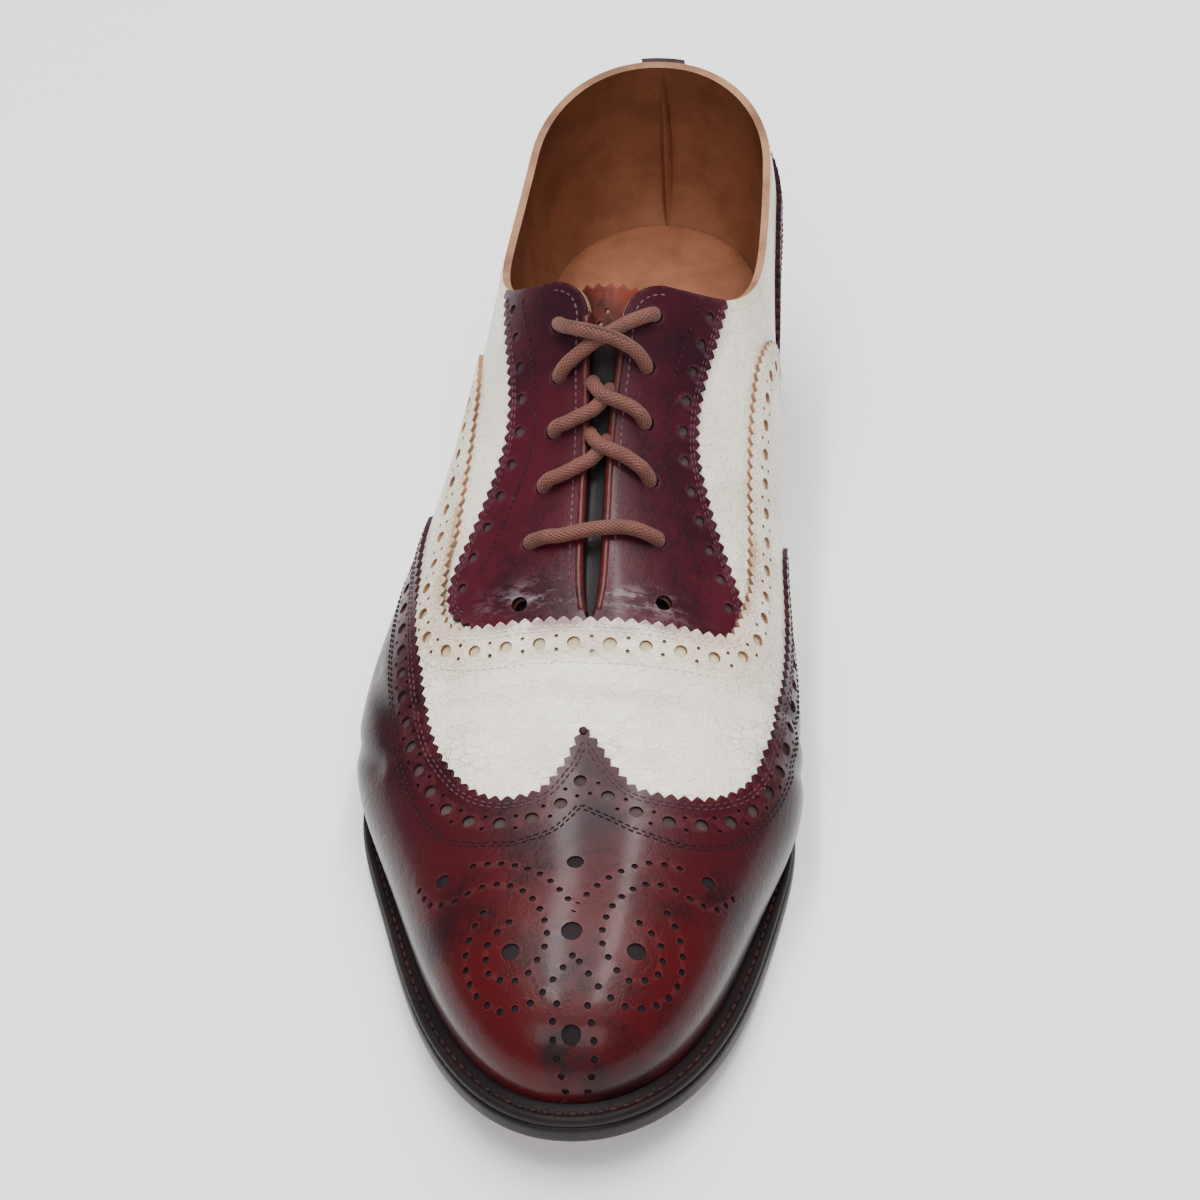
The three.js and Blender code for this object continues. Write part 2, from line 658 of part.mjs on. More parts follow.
const leather = (color, roughness) => new THREE.MeshStandardMaterial({ color, roughness, metalness: 0 });
const finishes = {
  white: leather('#e6e0d2', 0.55),
  toe: leather('#8a2d28', 0.3),
  burgundy: leather('#5c2a34', 0.38),
  tongue: leather('#7c3b30', 0.5),
  sole: leather('#2e1a1c', 0.5),
  welt: leather('#4b2a24', 0.55),
  lining: leather('#b57c54', 0.6),
  rubber: leather('#1d1a1a', 0.8),
  lace: leather('#7d4b3c', 0.7),
};

function piece(name, geometry, material) {
  geometry.computeVertexNormals();
  const mesh = new THREE.Mesh(geometry, material.clone());
  mesh.name = name;
  return mesh;
}

const shoe = new THREE.Group();
shoe.add(
  piece('outsole', outsole(), finishes.sole),
  piece('welt', welt(), finishes.welt),
  piece('insole', insole(), finishes.lining),
  piece('heel_stack', heelStack(), finishes.sole),
  piece('top_lift', topLift(), finishes.rubber),
  piece('upper', upper(), finishes.white),
  piece('wing_cap', wingCap(), finishes.toe),
  piece('facing_lateral', facing(-1), finishes.burgundy),
  piece('facing_medial', facing(1), finishes.burgundy),
  piece('counter', counter(), finishes.burgundy),
  piece('back_strap', backStrap(), finishes.burgundy),
  piece('tongue', tongue(), finishes.tongue),
  piece('lace_bar', laceBar(EYELETS[1]), finishes.lace),
  piece('lace_crossing_low', laceCrossing(EYELETS[2], LOW_RISE), finishes.lace),
  piece('lace_crossing_middle', laceCrossing(EYELETS[3], MIDDLE_RISE), finishes.lace),
  piece('lace_crossing_top', laceTopCrossing(), finishes.lace),
);

// Stand the shoe with its bounding box centred over the origin
const box = new THREE.Box3().setFromObject(shoe);
shoe.position.set(-(box.min.x + box.max.x) / 2, -(box.min.y + box.max.y) / 2, 0);

const model = new THREE.Group();
model.add(shoe);

export default model;
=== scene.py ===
"""Looks of a right-foot spectator shoe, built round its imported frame. Metres, +Z up, toe along -Y."""

import json
import logging
import math
from dataclasses import dataclass
from enum import Enum
from typing import Any, Callable, Sequence

import bpy
import numpy as np
from mathutils import Matrix, Vector
from mathutils.geometry import delaunay_2d_cdt

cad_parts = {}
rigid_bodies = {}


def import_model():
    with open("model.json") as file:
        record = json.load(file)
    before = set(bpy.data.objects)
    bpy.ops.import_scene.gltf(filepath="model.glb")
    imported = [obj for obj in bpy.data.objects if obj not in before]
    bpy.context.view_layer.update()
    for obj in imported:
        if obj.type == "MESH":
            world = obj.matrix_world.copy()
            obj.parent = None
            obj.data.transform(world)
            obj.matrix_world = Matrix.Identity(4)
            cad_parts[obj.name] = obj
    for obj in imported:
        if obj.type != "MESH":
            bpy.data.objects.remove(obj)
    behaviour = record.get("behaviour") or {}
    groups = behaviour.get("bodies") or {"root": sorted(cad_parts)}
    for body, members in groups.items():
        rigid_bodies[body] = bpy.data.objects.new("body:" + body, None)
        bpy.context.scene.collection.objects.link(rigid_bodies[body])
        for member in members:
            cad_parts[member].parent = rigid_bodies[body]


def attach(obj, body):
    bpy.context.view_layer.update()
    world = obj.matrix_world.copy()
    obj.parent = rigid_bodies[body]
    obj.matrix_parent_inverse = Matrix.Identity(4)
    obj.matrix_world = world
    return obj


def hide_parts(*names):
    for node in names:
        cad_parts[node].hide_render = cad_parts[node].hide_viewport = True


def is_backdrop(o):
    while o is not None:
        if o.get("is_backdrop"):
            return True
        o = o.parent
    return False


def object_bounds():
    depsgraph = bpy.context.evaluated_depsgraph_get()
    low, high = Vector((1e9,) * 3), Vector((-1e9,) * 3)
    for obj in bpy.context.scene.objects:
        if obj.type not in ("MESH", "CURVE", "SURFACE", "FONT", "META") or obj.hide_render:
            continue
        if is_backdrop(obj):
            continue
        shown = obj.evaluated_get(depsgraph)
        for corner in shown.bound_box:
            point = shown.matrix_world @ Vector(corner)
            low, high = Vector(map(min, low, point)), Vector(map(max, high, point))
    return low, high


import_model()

log = logging.getLogger("shoe")
MM = 0.001
CHUNK = 1500
Array = np.ndarray


class Side(Enum):
    """Side of the shoe, with the sign of its X direction."""

    LATERAL = -1
    MEDIAL = 1


@dataclass(frozen=True)
class LastSizes:
    """Driving sizes of the last, in metres, and shares of its length."""

    length: float = 0.284
    width: float = 0.091
    instep: float = 0.074
    heel: float = 0.025
    spring: float = 0.012
    feather: float = 0.008
    toe_start: float = 0.78
    heel_end: float = 0.12
    crown_start: float = 0.86
    heel_seat: float = 0.10
    arch_end: float = 0.58
    tread_end: float = 0.70
    toe_round: float = 2.1
    heel_round: float = 2.1
    crown_round: float = 2.2
    spring_curve: float = 1.7
    spine_reach: float = 0.2
    spine_start: float = 0.5
    belly: float = 0.22
    shift_x: float = 0.0011454
    shift_y: float = 0.0002481


COLUMNS = (
    "share", "lateral", "medial", "centre", "ridge", "rise", "belly",
    "bulge_lateral", "bulge_medial", "side", "crown", "welt",
)
SECTIONS = (
    (0.00, 0.620, 0.620, 0.00, 0.00, 1.34, 0.24, 0.10, 0.10, 0.62, 0.50, 0.50),
    (0.12, 0.640, 0.640, 0.00, 0.00, 1.25, 0.24, 0.10, 0.10, 0.62, 0.50, 0.50),
    (0.25, 0.650, 0.590, 0.00, -0.02, 1.16, 0.27, 0.12, 0.18, 0.60, 0.48, 0.46),
    (0.38, 0.680, 0.570, 0.00, -0.02, 1.08, 0.33, 0.15, 0.27, 0.50, 0.38, 0.42),
    (0.50, 0.840, 0.670, 0.00, -0.01, 0.86, 0.34, 0.14, 0.24, 0.44, 0.36, 0.68),
    (0.60, 0.975, 0.835, 0.00, 0.02, 0.68, 0.31, 0.12, 0.17, 0.46, 0.40, 0.98),
    (0.66, 1.020, 0.890, 0.01, 0.045, 0.585, 0.30, 0.11, 0.15, 0.50, 0.46, 1.00),
    (0.72, 1.000, 0.920, 0.02, 0.065, 0.50, 0.30, 0.09, 0.13, 0.54, 0.52, 1.00),
    (0.80, 0.845, 0.840, 0.05, 0.10, 0.40, 0.33, 0.05, 0.06, 0.58, 0.60, 1.00),
    (0.90, 0.715, 0.785, 0.09, 0.14, 0.34, 0.36, 0.02, 0.02, 0.60, 0.62, 1.00),
    (1.00, 0.655, 0.775, 0.14, 0.16, 0.31, 0.36, 0.02, 0.02, 0.60, 0.62, 1.00),
)

# Soft creases: walk and across of both ends, depth and width in millimetres
CREASES = (
    (0.372, -0.34, 0.385, 0.02, 0.55, 3.0),
    (0.385, 0.02, 0.376, 0.40, 0.50, 2.8),
    (0.352, -0.22, 0.360, 0.30, 0.45, 2.6),
    (0.360, -0.44, 0.352, -0.20, 0.40, 2.2),
    (0.366, 0.06, 0.369, 0.34, -0.25, 2.4),
    (0.378, -0.30, 0.372, -0.04, -0.22, 2.2),
    (0.341, 0.12, 0.346, 0.44, 0.30, 2.0),
    (0.393, -0.42, 0.396, -0.12, 0.25, 2.2),
    (0.396, 0.10, 0.392, 0.46, 0.25, 2.2),
    (0.330, -0.34, 0.338, -0.14, 0.22, 1.8),
    (0.356, -0.02, 0.353, 0.14, 0.25, 1.7),
    (0.340, -0.46, 0.415, -0.66, 0.45, 3.4),
    (0.330, -0.58, 0.380, -0.80, 0.50, 3.0),
    (0.352, 0.52, 0.372, 0.80, 0.45, 3.2),
    (0.395, 0.50, 0.400, 0.86, 0.40, 3.0),
)


def round_off(t: Array, power: float) -> Array:
    """Quarter of a superellipse."""
    return (1 - np.clip(t, 0, 1) ** power) ** (1 / power)


def smoothstep(t: Array, low: float, high: float) -> Array:
    """Smooth ramp."""
    q = np.clip((np.asarray(t, float) - low) / (high - low), 0, 1)
    return q * q * (3 - 2 * q)


class Spline:
    """Natural cubic spline through one column of a table."""

    def __init__(self, xs: Sequence[float], ys: Sequence[float]) -> None:
        """Works out the bends.

        Args:
            xs: rising places.
            ys: values there.
        """
        self.xs = np.asarray(xs, float)
        self.ys = np.asarray(ys, float)
        n = len(self.xs)
        h = np.diff(self.xs)
        matrix = np.eye(n)
        pull = np.zeros(n)
        for i in range(1, n - 1):
            matrix[i, i - 1 : i + 2] = (h[i - 1], 2 * (h[i - 1] + h[i]), h[i])
            pull[i] = 6 * ((self.ys[i + 1] - self.ys[i]) / h[i] - (self.ys[i] - self.ys[i - 1]) / h[i - 1])
        self.bends = np.linalg.solve(matrix, pull)

    def __call__(self, x: Array) -> Array:
        """Value of the spline.

        Args:
            x: places, held inside the table.

        Returns:
            Values there.
        """
        q = np.clip(x, self.xs[0], self.xs[-1])
        i = np.clip(np.searchsorted(self.xs, q, side="right") - 1, 0, len(self.xs) - 2)
        h = self.xs[i + 1] - self.xs[i]
        a = (self.xs[i + 1] - q) / h
        b = (q - self.xs[i]) / h
        sag = ((a**3 - a) * self.bends[i] + (b**3 - b) * self.bends[i + 1]) * h * h / 6
        return a * self.ys[i] + b * self.ys[i + 1] + sag


class Last:
    """Surface of the last in a chart of walk (0 toe tip, 1 heel back) and across (-1 lateral, 1 medial)."""

    METRIC = np.array((0.339, 0.075))
    CREASE_DEPTH = 1.6
    RIDGE = 1e-7

    def __init__(self, sizes: LastSizes) -> None:
        """Builds the splines of the section table.

        Args:
            sizes: driving sizes.
        """
        self.sizes = sizes
        shares = [row[0] for row in SECTIONS]
        self.column = {
            name: Spline(shares, [row[i + 1] for row in SECTIONS]) for i, name in enumerate(COLUMNS[1:])
        }
        toe = (1 - sizes.toe_start) * math.pi / 2
        heel = sizes.heel_end * math.pi / 2
        whole = toe + sizes.toe_start - sizes.heel_end + heel
        self.toe_walk = toe / whole
        self.heel_walk = 1 - heel / whole
        steps = np.linspace(0, 1, 4001)
        self._steps = steps
        self._shares = self.share(steps)

    def share(self, walk: Array) -> Array:
        """Share along the shoe of a walk.

        Args:
            walk: 0 at the toe tip, 1 at the heel's back.

        Returns:
            1 at the toe, 0 at the heel.
        """
        s = self.sizes
        walk = np.asarray(walk, float)
        toe = 1 - (1 - s.toe_start) * (1 - np.cos(math.pi / 2 * np.clip(walk / self.toe_walk, 0, 1)))
        t = (walk - self.toe_walk) / (self.heel_walk - self.toe_walk)
        middle = s.toe_start + (s.heel_end - s.toe_start) * t
        q = np.clip((walk - self.heel_walk) / (1 - self.heel_walk), 0, 1)
        heel = s.heel_end * (1 - np.sin(math.pi / 2 * q))
        return np.where(walk < self.toe_walk, toe, np.where(walk < self.heel_walk, middle, heel))

    def walk(self, share: Array) -> Array:
        """Walk of a share along the shoe."""
        return np.interp(-np.asarray(share, float), -self._shares, self._steps)

    def along(self, share: Array) -> Array:
        """Y of a share along the shoe."""
        return self.sizes.length * (0.5 - np.asarray(share, float)) + self.sizes.shift_y

    def underside(self, share: Array) -> Array:
        """Height of the outsole's underside.

        Args:
            share: place along the shoe.

        Returns:
            Height over the floor.
        """
        s = self.sizes
        arch = smoothstep(s.arch_end - np.asarray(share, float), 0, s.arch_end - s.heel_seat)
        spring = np.maximum((share - s.tread_end) / (1 - s.tread_end), 0) ** s.spring_curve
        return s.heel * arch + s.spring * spring

    def centre_x(self, share: Array) -> Array:
        """X of the centre line over the instep."""
        return self.sizes.width / 2 * self.column["ridge"](share) + self.sizes.shift_x

    def foot(self, walk: Array, side: Array) -> Array:
        """Feather line, where the last meets the sole.

        Args:
            walk: place along the shoe.
            side: -1 lateral, 1 medial.

        Returns:
            Points, one row each.
        """
        s = self.sizes
        share = self.share(walk)
        reach = np.where(side < 0, self.column["lateral"](share), self.column["medial"](share))
        reach = reach * round_off((share - s.toe_start) / (1 - s.toe_start), s.toe_round)
        reach = reach * round_off((s.heel_end - share) / s.heel_end, s.heel_round)
        x = s.width / 2 * (self.column["centre"](share) + side * reach) + s.shift_x
        return np.stack((x, self.along(share), self.underside(share) + s.feather), -1)

    def points(self, walk: Array, across: Array) -> Array:
        """Bare surface of the last.

        Args:
            walk: place along the shoe.
            across: -1 at the lateral feather line, 0 on the ridge, 1 at the medial feather line.

        Returns:
            Points, one row each.
        """
        s = self.sizes
        walk = np.clip(np.asarray(walk, float), 0, 1)
        across = np.asarray(across, float)
        side = np.where(across < 0, -1.0, 1.0)
        climb = np.clip(1 - np.abs(across), 0, 1)
        share = self.share(walk)
        foot = self.foot(walk, side)
        crown = round_off((share - s.crown_start) / (1 - s.crown_start), s.crown_round)
        low = foot[..., 2]
        top = low + s.instep * self.column["rise"](share) * crown
        spine_share = share + s.spine_reach * np.maximum(1 - share / s.spine_start, 0) ** 2
        spine = np.stack((self.centre_x(share), self.along(spine_share)), -1)
        ray = foot[..., :2] - spine
        reach = np.linalg.norm(ray, axis=-1)
        ray = ray / np.maximum(reach, 1e-9)[..., None]
        bulge = np.where(side < 0, self.column["bulge_lateral"](share), self.column["bulge_medial"](share))
        bulge = bulge * s.width / 2 * round_off((share - s.toe_start) / (1 - s.toe_start), s.toe_round)
        widest = reach + bulge
        waist = low + (top - low) * self.column["belly"](share)
        t = np.clip(climb / s.belly, 0, 1)
        u = np.clip((climb - s.belly) / (1 - s.belly), 0, 1)
        below = climb < s.belly
        out = np.where(
            below,
            self._cubic((reach, reach + 0.6 * bulge, widest, widest), t),
            self._cubic((widest, widest, self.column["crown"](share) * widest, 0), u),
        )
        flank = waist + (top - waist) * self.column["side"](share)
        up = np.where(
            below,
            self._cubic((low, low + 0.2 * (waist - low), low + 0.55 * (waist - low), waist), t),
            self._cubic((waist, flank, top, top), u),
        )
        return np.stack((spine[..., 0] + ray[..., 0] * out, spine[..., 1] + ray[..., 1] * out, up), -1)

    @staticmethod
    def _cubic(p: Sequence[Array], t: Array) -> Array:
        """Cubic curve through its four controls."""
        q = 1 - t
        return q**3 * p[0] + 3 * q * q * t * p[1] + 3 * q * t * t * p[2] + t**3 * p[3]

    def normals(self, walk: Array, across: Array) -> Array:
        """Outward normals, held level at the feather line.

        Args:
            walk: place along the shoe.
            across: place round the section.

        Returns:
            Unit vectors, one row each.
        """
        step = 1e-3
        walk = np.asarray(walk, float)
        across = np.asarray(across, float)
        side = np.where(across < 0, -1.0, 1.0)
        climb = 1 - np.abs(across)
        middle = np.clip(walk, step, 1 - step)
        level, above, below = (
            side * np.maximum(1 - np.clip(climb + move, 0, 1), self.RIDGE) for move in (0.0, step, -step)
        )
        run = self.points(middle + step, level) - self.points(middle - step, level)
        rise = self.points(middle, above) - self.points(middle, below)
        normal = unit(np.cross(run, rise) * side[..., None])
        normal[..., 2] *= smoothstep(climb, 0, 0.02)
        tip = smoothstep(walk, 0, 0.012)[..., None]
        normal = normal * tip + np.array((0.0, -1.0, 0.0)) * (1 - tip)
        normal[..., 0] *= smoothstep(1 - walk, 0, 0.004)
        return unit(normal)

    def relief(self, walk: Array, across: Array) -> Array:
        """Soft creases that every layer of the upper shares.

        Args:
            walk: place along the shoe.
            across: place round the section.

        Returns:
            Height to add along the normal.
        """
        place = np.stack((walk, across), -1) * self.METRIC
        total = np.zeros(np.shape(walk))
        for w0, a0, w1, a1, depth, width in CREASES:
            start = np.array((w0, a0)) * self.METRIC
            end = np.array((w1, a1)) * self.METRIC
            line = end - start
            t = ((place - start) @ line) / (line @ line)
            gap = np.linalg.norm(place - start - np.clip(t, 0, 1)[..., None] * line, axis=-1)
            q = gap / (width * MM)
            total -= self.CREASE_DEPTH * depth * MM * np.exp(-q * q) * (1 - 0.55 * q * q)
        return total

    def offset(self, walk: Array, across: Array, height: Array) -> Array:
        """Surface raised off the last, with the creases."""
        lift = np.broadcast_to(np.asarray(height) + self.relief(walk, across), np.shape(walk))
        return self.points(walk, across) + self.normals(walk, across) * lift[..., None]

    def moved(self, chart: Array, steps: Array) -> Array:
        """Chart places after small moves over the surface.

        Args:
            chart: walk and across of each point.
            steps: move of each point in metres.

        Returns:
            New walk and across.
        """
        tiny = 2e-4
        walk, across = chart[:, 0], chart[:, 1]
        back = np.where(walk > 1 - 2 * tiny, -1.0, 1.0)
        turn = np.where((across > 1 - 2 * tiny) | ((across < 0) & (across > -2 * tiny)), -1.0, 1.0)
        here = self.points(walk, across)
        du = (self.points(walk + tiny * back, across) - here) / (tiny * back)[:, None]
        ds = (self.points(walk, across + tiny * turn) - here) / (tiny * turn)[:, None]
        a = (du * du).sum(1)
        b = (du * ds).sum(1)
        c = (ds * ds).sum(1)
        p = (du * steps).sum(1)
        q = (ds * steps).sum(1)
        det = np.maximum(a * c - b * b, 1e-12)
        return chart + np.stack(((c * p - b * q) / det, (a * q - b * p) / det), 1)

    def outline(self, walk: Array, side: Array, reach: Array) -> Array:
        """Plan outline of the feather line moved outward.

        Args:
            walk: place along the shoe.
            side: -1 lateral, 1 medial.
            reach: distance outward.

        Returns:
            X and Y, one row each.
        """
        tiny = 1e-4
        p0 = self.foot(np.clip(walk - tiny, 0, 1), side)
        p1 = self.foot(np.clip(walk + tiny, 0, 1), side)
        out = np.stack((p1[:, 1] - p0[:, 1], p0[:, 0] - p1[:, 0]), 1)
        out = unit(out) * np.asarray(side, float)[:, None]
        out[walk <= 0] = (0, -1)
        out[walk >= 1] = (0, 1)
        return self.foot(walk, side)[:, :2] + out * np.asarray(reach)[..., None]

    def across_at_reach(self, share: Array, reach: Array) -> Array:
        """Across of points over the instep at a distance from the centre line.

        Args:
            share: place along the shoe.
            reach: signed distance in X from the centre line.

        Returns:
            Across of each point.
        """
        share = np.asarray(share, float)
        reach = np.broadcast_to(np.asarray(reach, float), share.shape)
        side = np.where(reach < 0, -1.0, 1.0)
        walk, middle = self.walk(share), self.centre_x(share)
        return self._found(
            side, np.full(share.shape, 0.4),
            lambda across: np.abs(self.points(walk, across)[..., 0] - middle) > np.abs(reach),
        )

    def across_at_level(self, walk: Array, side: int, level: Callable[[Array], Array], height: float) -> Array:
        """Across where a raised surface meets a line drawn in the side view.

        Args:
            walk: places along the shoe.
            side: -1 lateral, 1 medial.
            level: height of the line over the floor at a Y.
            height: distance of the surface off the last.

        Returns:
            Across of each point.
        """
        walk = np.asarray(walk, float)

        def below(across: Array) -> Array:
            """Tells where the raised surface lies below the line."""
            point = self.points(walk, across) + self.normals(walk, across) * height
            return point[:, 2] < level(point[:, 1])

        return self._found(side, np.zeros(walk.shape), below)

    def _found(self, side: Any, low: Array, higher: Callable[[Array], Array]) -> Array:
        """Across found by halving the climb again and again.

        Args:
            side: -1 lateral, 1 medial.
            low: lowest climb of each point.
            higher: tells for an across whether the place looked for is higher up.

        Returns:
            Across of each point.
        """
        high = np.ones(low.shape)
        for _ in range(30):
            climb = (low + high) / 2
            more = higher(side * np.maximum(1 - climb, self.RIDGE))
            low, high = np.where(more, climb, low), np.where(more, high, climb)
        return side * np.maximum(1 - low, self.RIDGE)


def unit(rows: Array) -> Array:
    """Rows scaled to length one."""
    return rows / np.maximum(np.linalg.norm(rows, axis=-1), 1e-12)[..., None]


def runs(points: Array) -> Array:
    """Distance along a line at each of its points."""
    return np.concatenate(([0], np.cumsum(np.linalg.norm(np.diff(points, axis=0), axis=1))))


def chart_rows(walk: Any, across: Any) -> Array:
    """Walk and across as rows of two, where either may be one number."""
    return np.stack(np.broadcast_arrays(walk, across), 1)


def smooth_rows(rows: Sequence[Sequence[float]], count: int) -> Array:
    """Smooth curve through the rows of a short table.

    Args:
        rows: table of two or more columns.
        count: number of points to return.

    Returns:
        Points of the curve, evenly spread between the rows.
    """
    table = np.asarray(rows, float)
    ends = np.vstack((2 * table[0] - table[1], table, 2 * table[-1] - table[-2]))
    t = np.linspace(0, len(table) - 1 - 1e-9, count)
    i = t.astype(int)
    f = (t - i)[:, None]
    p0, p1, p2, p3 = ends[i], ends[i + 1], ends[i + 2], ends[i + 3]
    square, cube = 2 * p0 - 5 * p1 + 4 * p2 - p3, 3 * p1 - p0 - 3 * p2 + p3
    return 0.5 * (2 * p1 + (p2 - p0) * f + square * f * f + cube * f**3)


class Path:
    """A line drawn on the last, as places in its chart."""

    def __init__(self, last: Last, chart: Array) -> None:
        """Keeps the line and its length.

        Args:
            last: the surface.
            chart: walk and across of its points.
        """
        self.last = last
        self.chart = np.asarray(chart, float)
        self.run = runs(last.points(*self.chart.T))

    @classmethod
    def through(cls, last: Last, rows: Sequence[Sequence[float]], count: int = 160) -> "Path":
        """Smooth line through walk and across rows."""
        return cls(last, smooth_rows(rows, count))

    @property
    def length(self) -> float:
        """Length of the line in metres."""
        return float(self.run[-1])

    def at(self, distance: Array) -> Array:
        """Chart places at distances from the line's start."""
        return np.stack([np.interp(distance, self.run, self.chart[:, k]) for k in (0, 1)], 1)

    def frames(self, distance: Array) -> tuple[Array, Array, Array]:
        """Directions along, out of and beside the line.

        Args:
            distance: distances in metres.

        Returns:
            Unit vectors along the line, out of the surface and to its left.
        """
        reach = 0.4 * MM
        before = self.at(np.clip(distance - reach, 0, self.length))
        after = self.at(np.clip(distance + reach, 0, self.length))
        along = unit(self.last.points(*after.T) - self.last.points(*before.T))
        out = self.last.normals(*self.at(distance).T)
        return along, out, np.cross(out, along)

    def beside(self, amount: float, pitch: float = 1.5 * MM) -> "Path":
        """Line that runs beside this one.

        Args:
            amount: distance to the left of the line.
            pitch: distance between its points.

        Returns:
            The new line.
        """
        distance = np.linspace(0, self.length, max(int(self.length / pitch), 2) + 1)
        steps = self.frames(distance)[2] * amount
        chart = self.last.moved(self.at(distance), steps)
        here = self.at(np.linspace(0, self.length, 4 * len(distance)))
        gap = nearest(self.last.points(*chart.T), self.last.points(*here.T))
        return Path(self.last, chart[gap > 0.95 * abs(amount) - 0.1 * MM])

    def resampled(self, pitch: float) -> Array:
        """Evenly spaced chart places."""
        count = max(int(round(self.length / pitch)), 2)
        return self.at(np.linspace(0, self.length, count + 1))

    def pinked(self, pitch: float, depth: float) -> Array:
        """Toothed version of the line.

        Args:
            pitch: distance between teeth.
            depth: depth of a tooth, to the left of the line.

        Returns:
            Walk and across of its corners.
        """
        count = 4 * max(int(round(self.length / pitch)), 2)
        distance = np.linspace(0, self.length, count + 1)
        wave = np.array((0.0, 0.62, 1.0, 0.62))[np.arange(count + 1) % 4]
        steps = self.frames(distance)[2] * (wave * depth)[:, None]
        return self.last.moved(self.at(distance), steps)


def circles(last: Last, centres: Array, radius: Array, count: int) -> list[Array]:
    """Round holes on the surface, as loops in its chart.

    Args:
        last: the surface.
        centres: walk and across of each hole.
        radius: radius of each hole in metres.
        count: corners of a loop.

    Returns:
        One loop for each hole.
    """
    centres = np.asarray(centres, float).reshape(-1, 2)
    radius = np.broadcast_to(np.asarray(radius, float), len(centres))
    out = last.normals(*centres.T)
    side = unit(np.cross(out, (0.0, 1.0, 0.0)))
    up = np.cross(out, side)
    loops = []
    angles = np.arange(count) / count * 2 * math.pi
    for centre, r, a, b in zip(centres, radius, side, up):
        steps = (np.cos(angles)[:, None] * a + np.sin(angles)[:, None] * b) * r
        loops.append(last.moved(np.repeat(centre[None], count, 0), steps))
    return loops


def inside(points: Array, loop: Array) -> Array:
    """Even-odd test of points against a closed loop.

    Args:
        points: points to test.
        loop: corners of the loop.

    Returns:
        True for each point inside.
    """
    a = loop
    b = np.roll(loop, -1, axis=0)
    result = np.zeros(len(points), bool)
    for start in range(0, len(points), CHUNK):
        p = points[start : start + CHUNK, None, :]
        crosses = (a[:, 1] > p[..., 1]) != (b[:, 1] > p[..., 1])
        span = np.where(b[:, 1] == a[:, 1], 1e-12, b[:, 1] - a[:, 1])
        x = a[:, 0] + (p[..., 1] - a[:, 1]) * (b[:, 0] - a[:, 0]) / span
        result[start : start + CHUNK] = ((crosses & (p[..., 0] < x)).sum(1) % 2) == 1
    return result


def nearest(points: Array, others: Array) -> Array:
    """Distance from each point to the closest of others.

    Args:
        points: points to measure from.
        others: points to measure to.

    Returns:
        Distances.
    """
    if not len(others):
        return np.full(len(points), 1.0)
    result = np.empty(len(points))
    for start in range(0, len(points), CHUNK):
        p = points[start : start + CHUNK, None, :]
        result[start : start + CHUNK] = np.sqrt(((p - others[None]) ** 2).sum(-1).min(1))
    return result


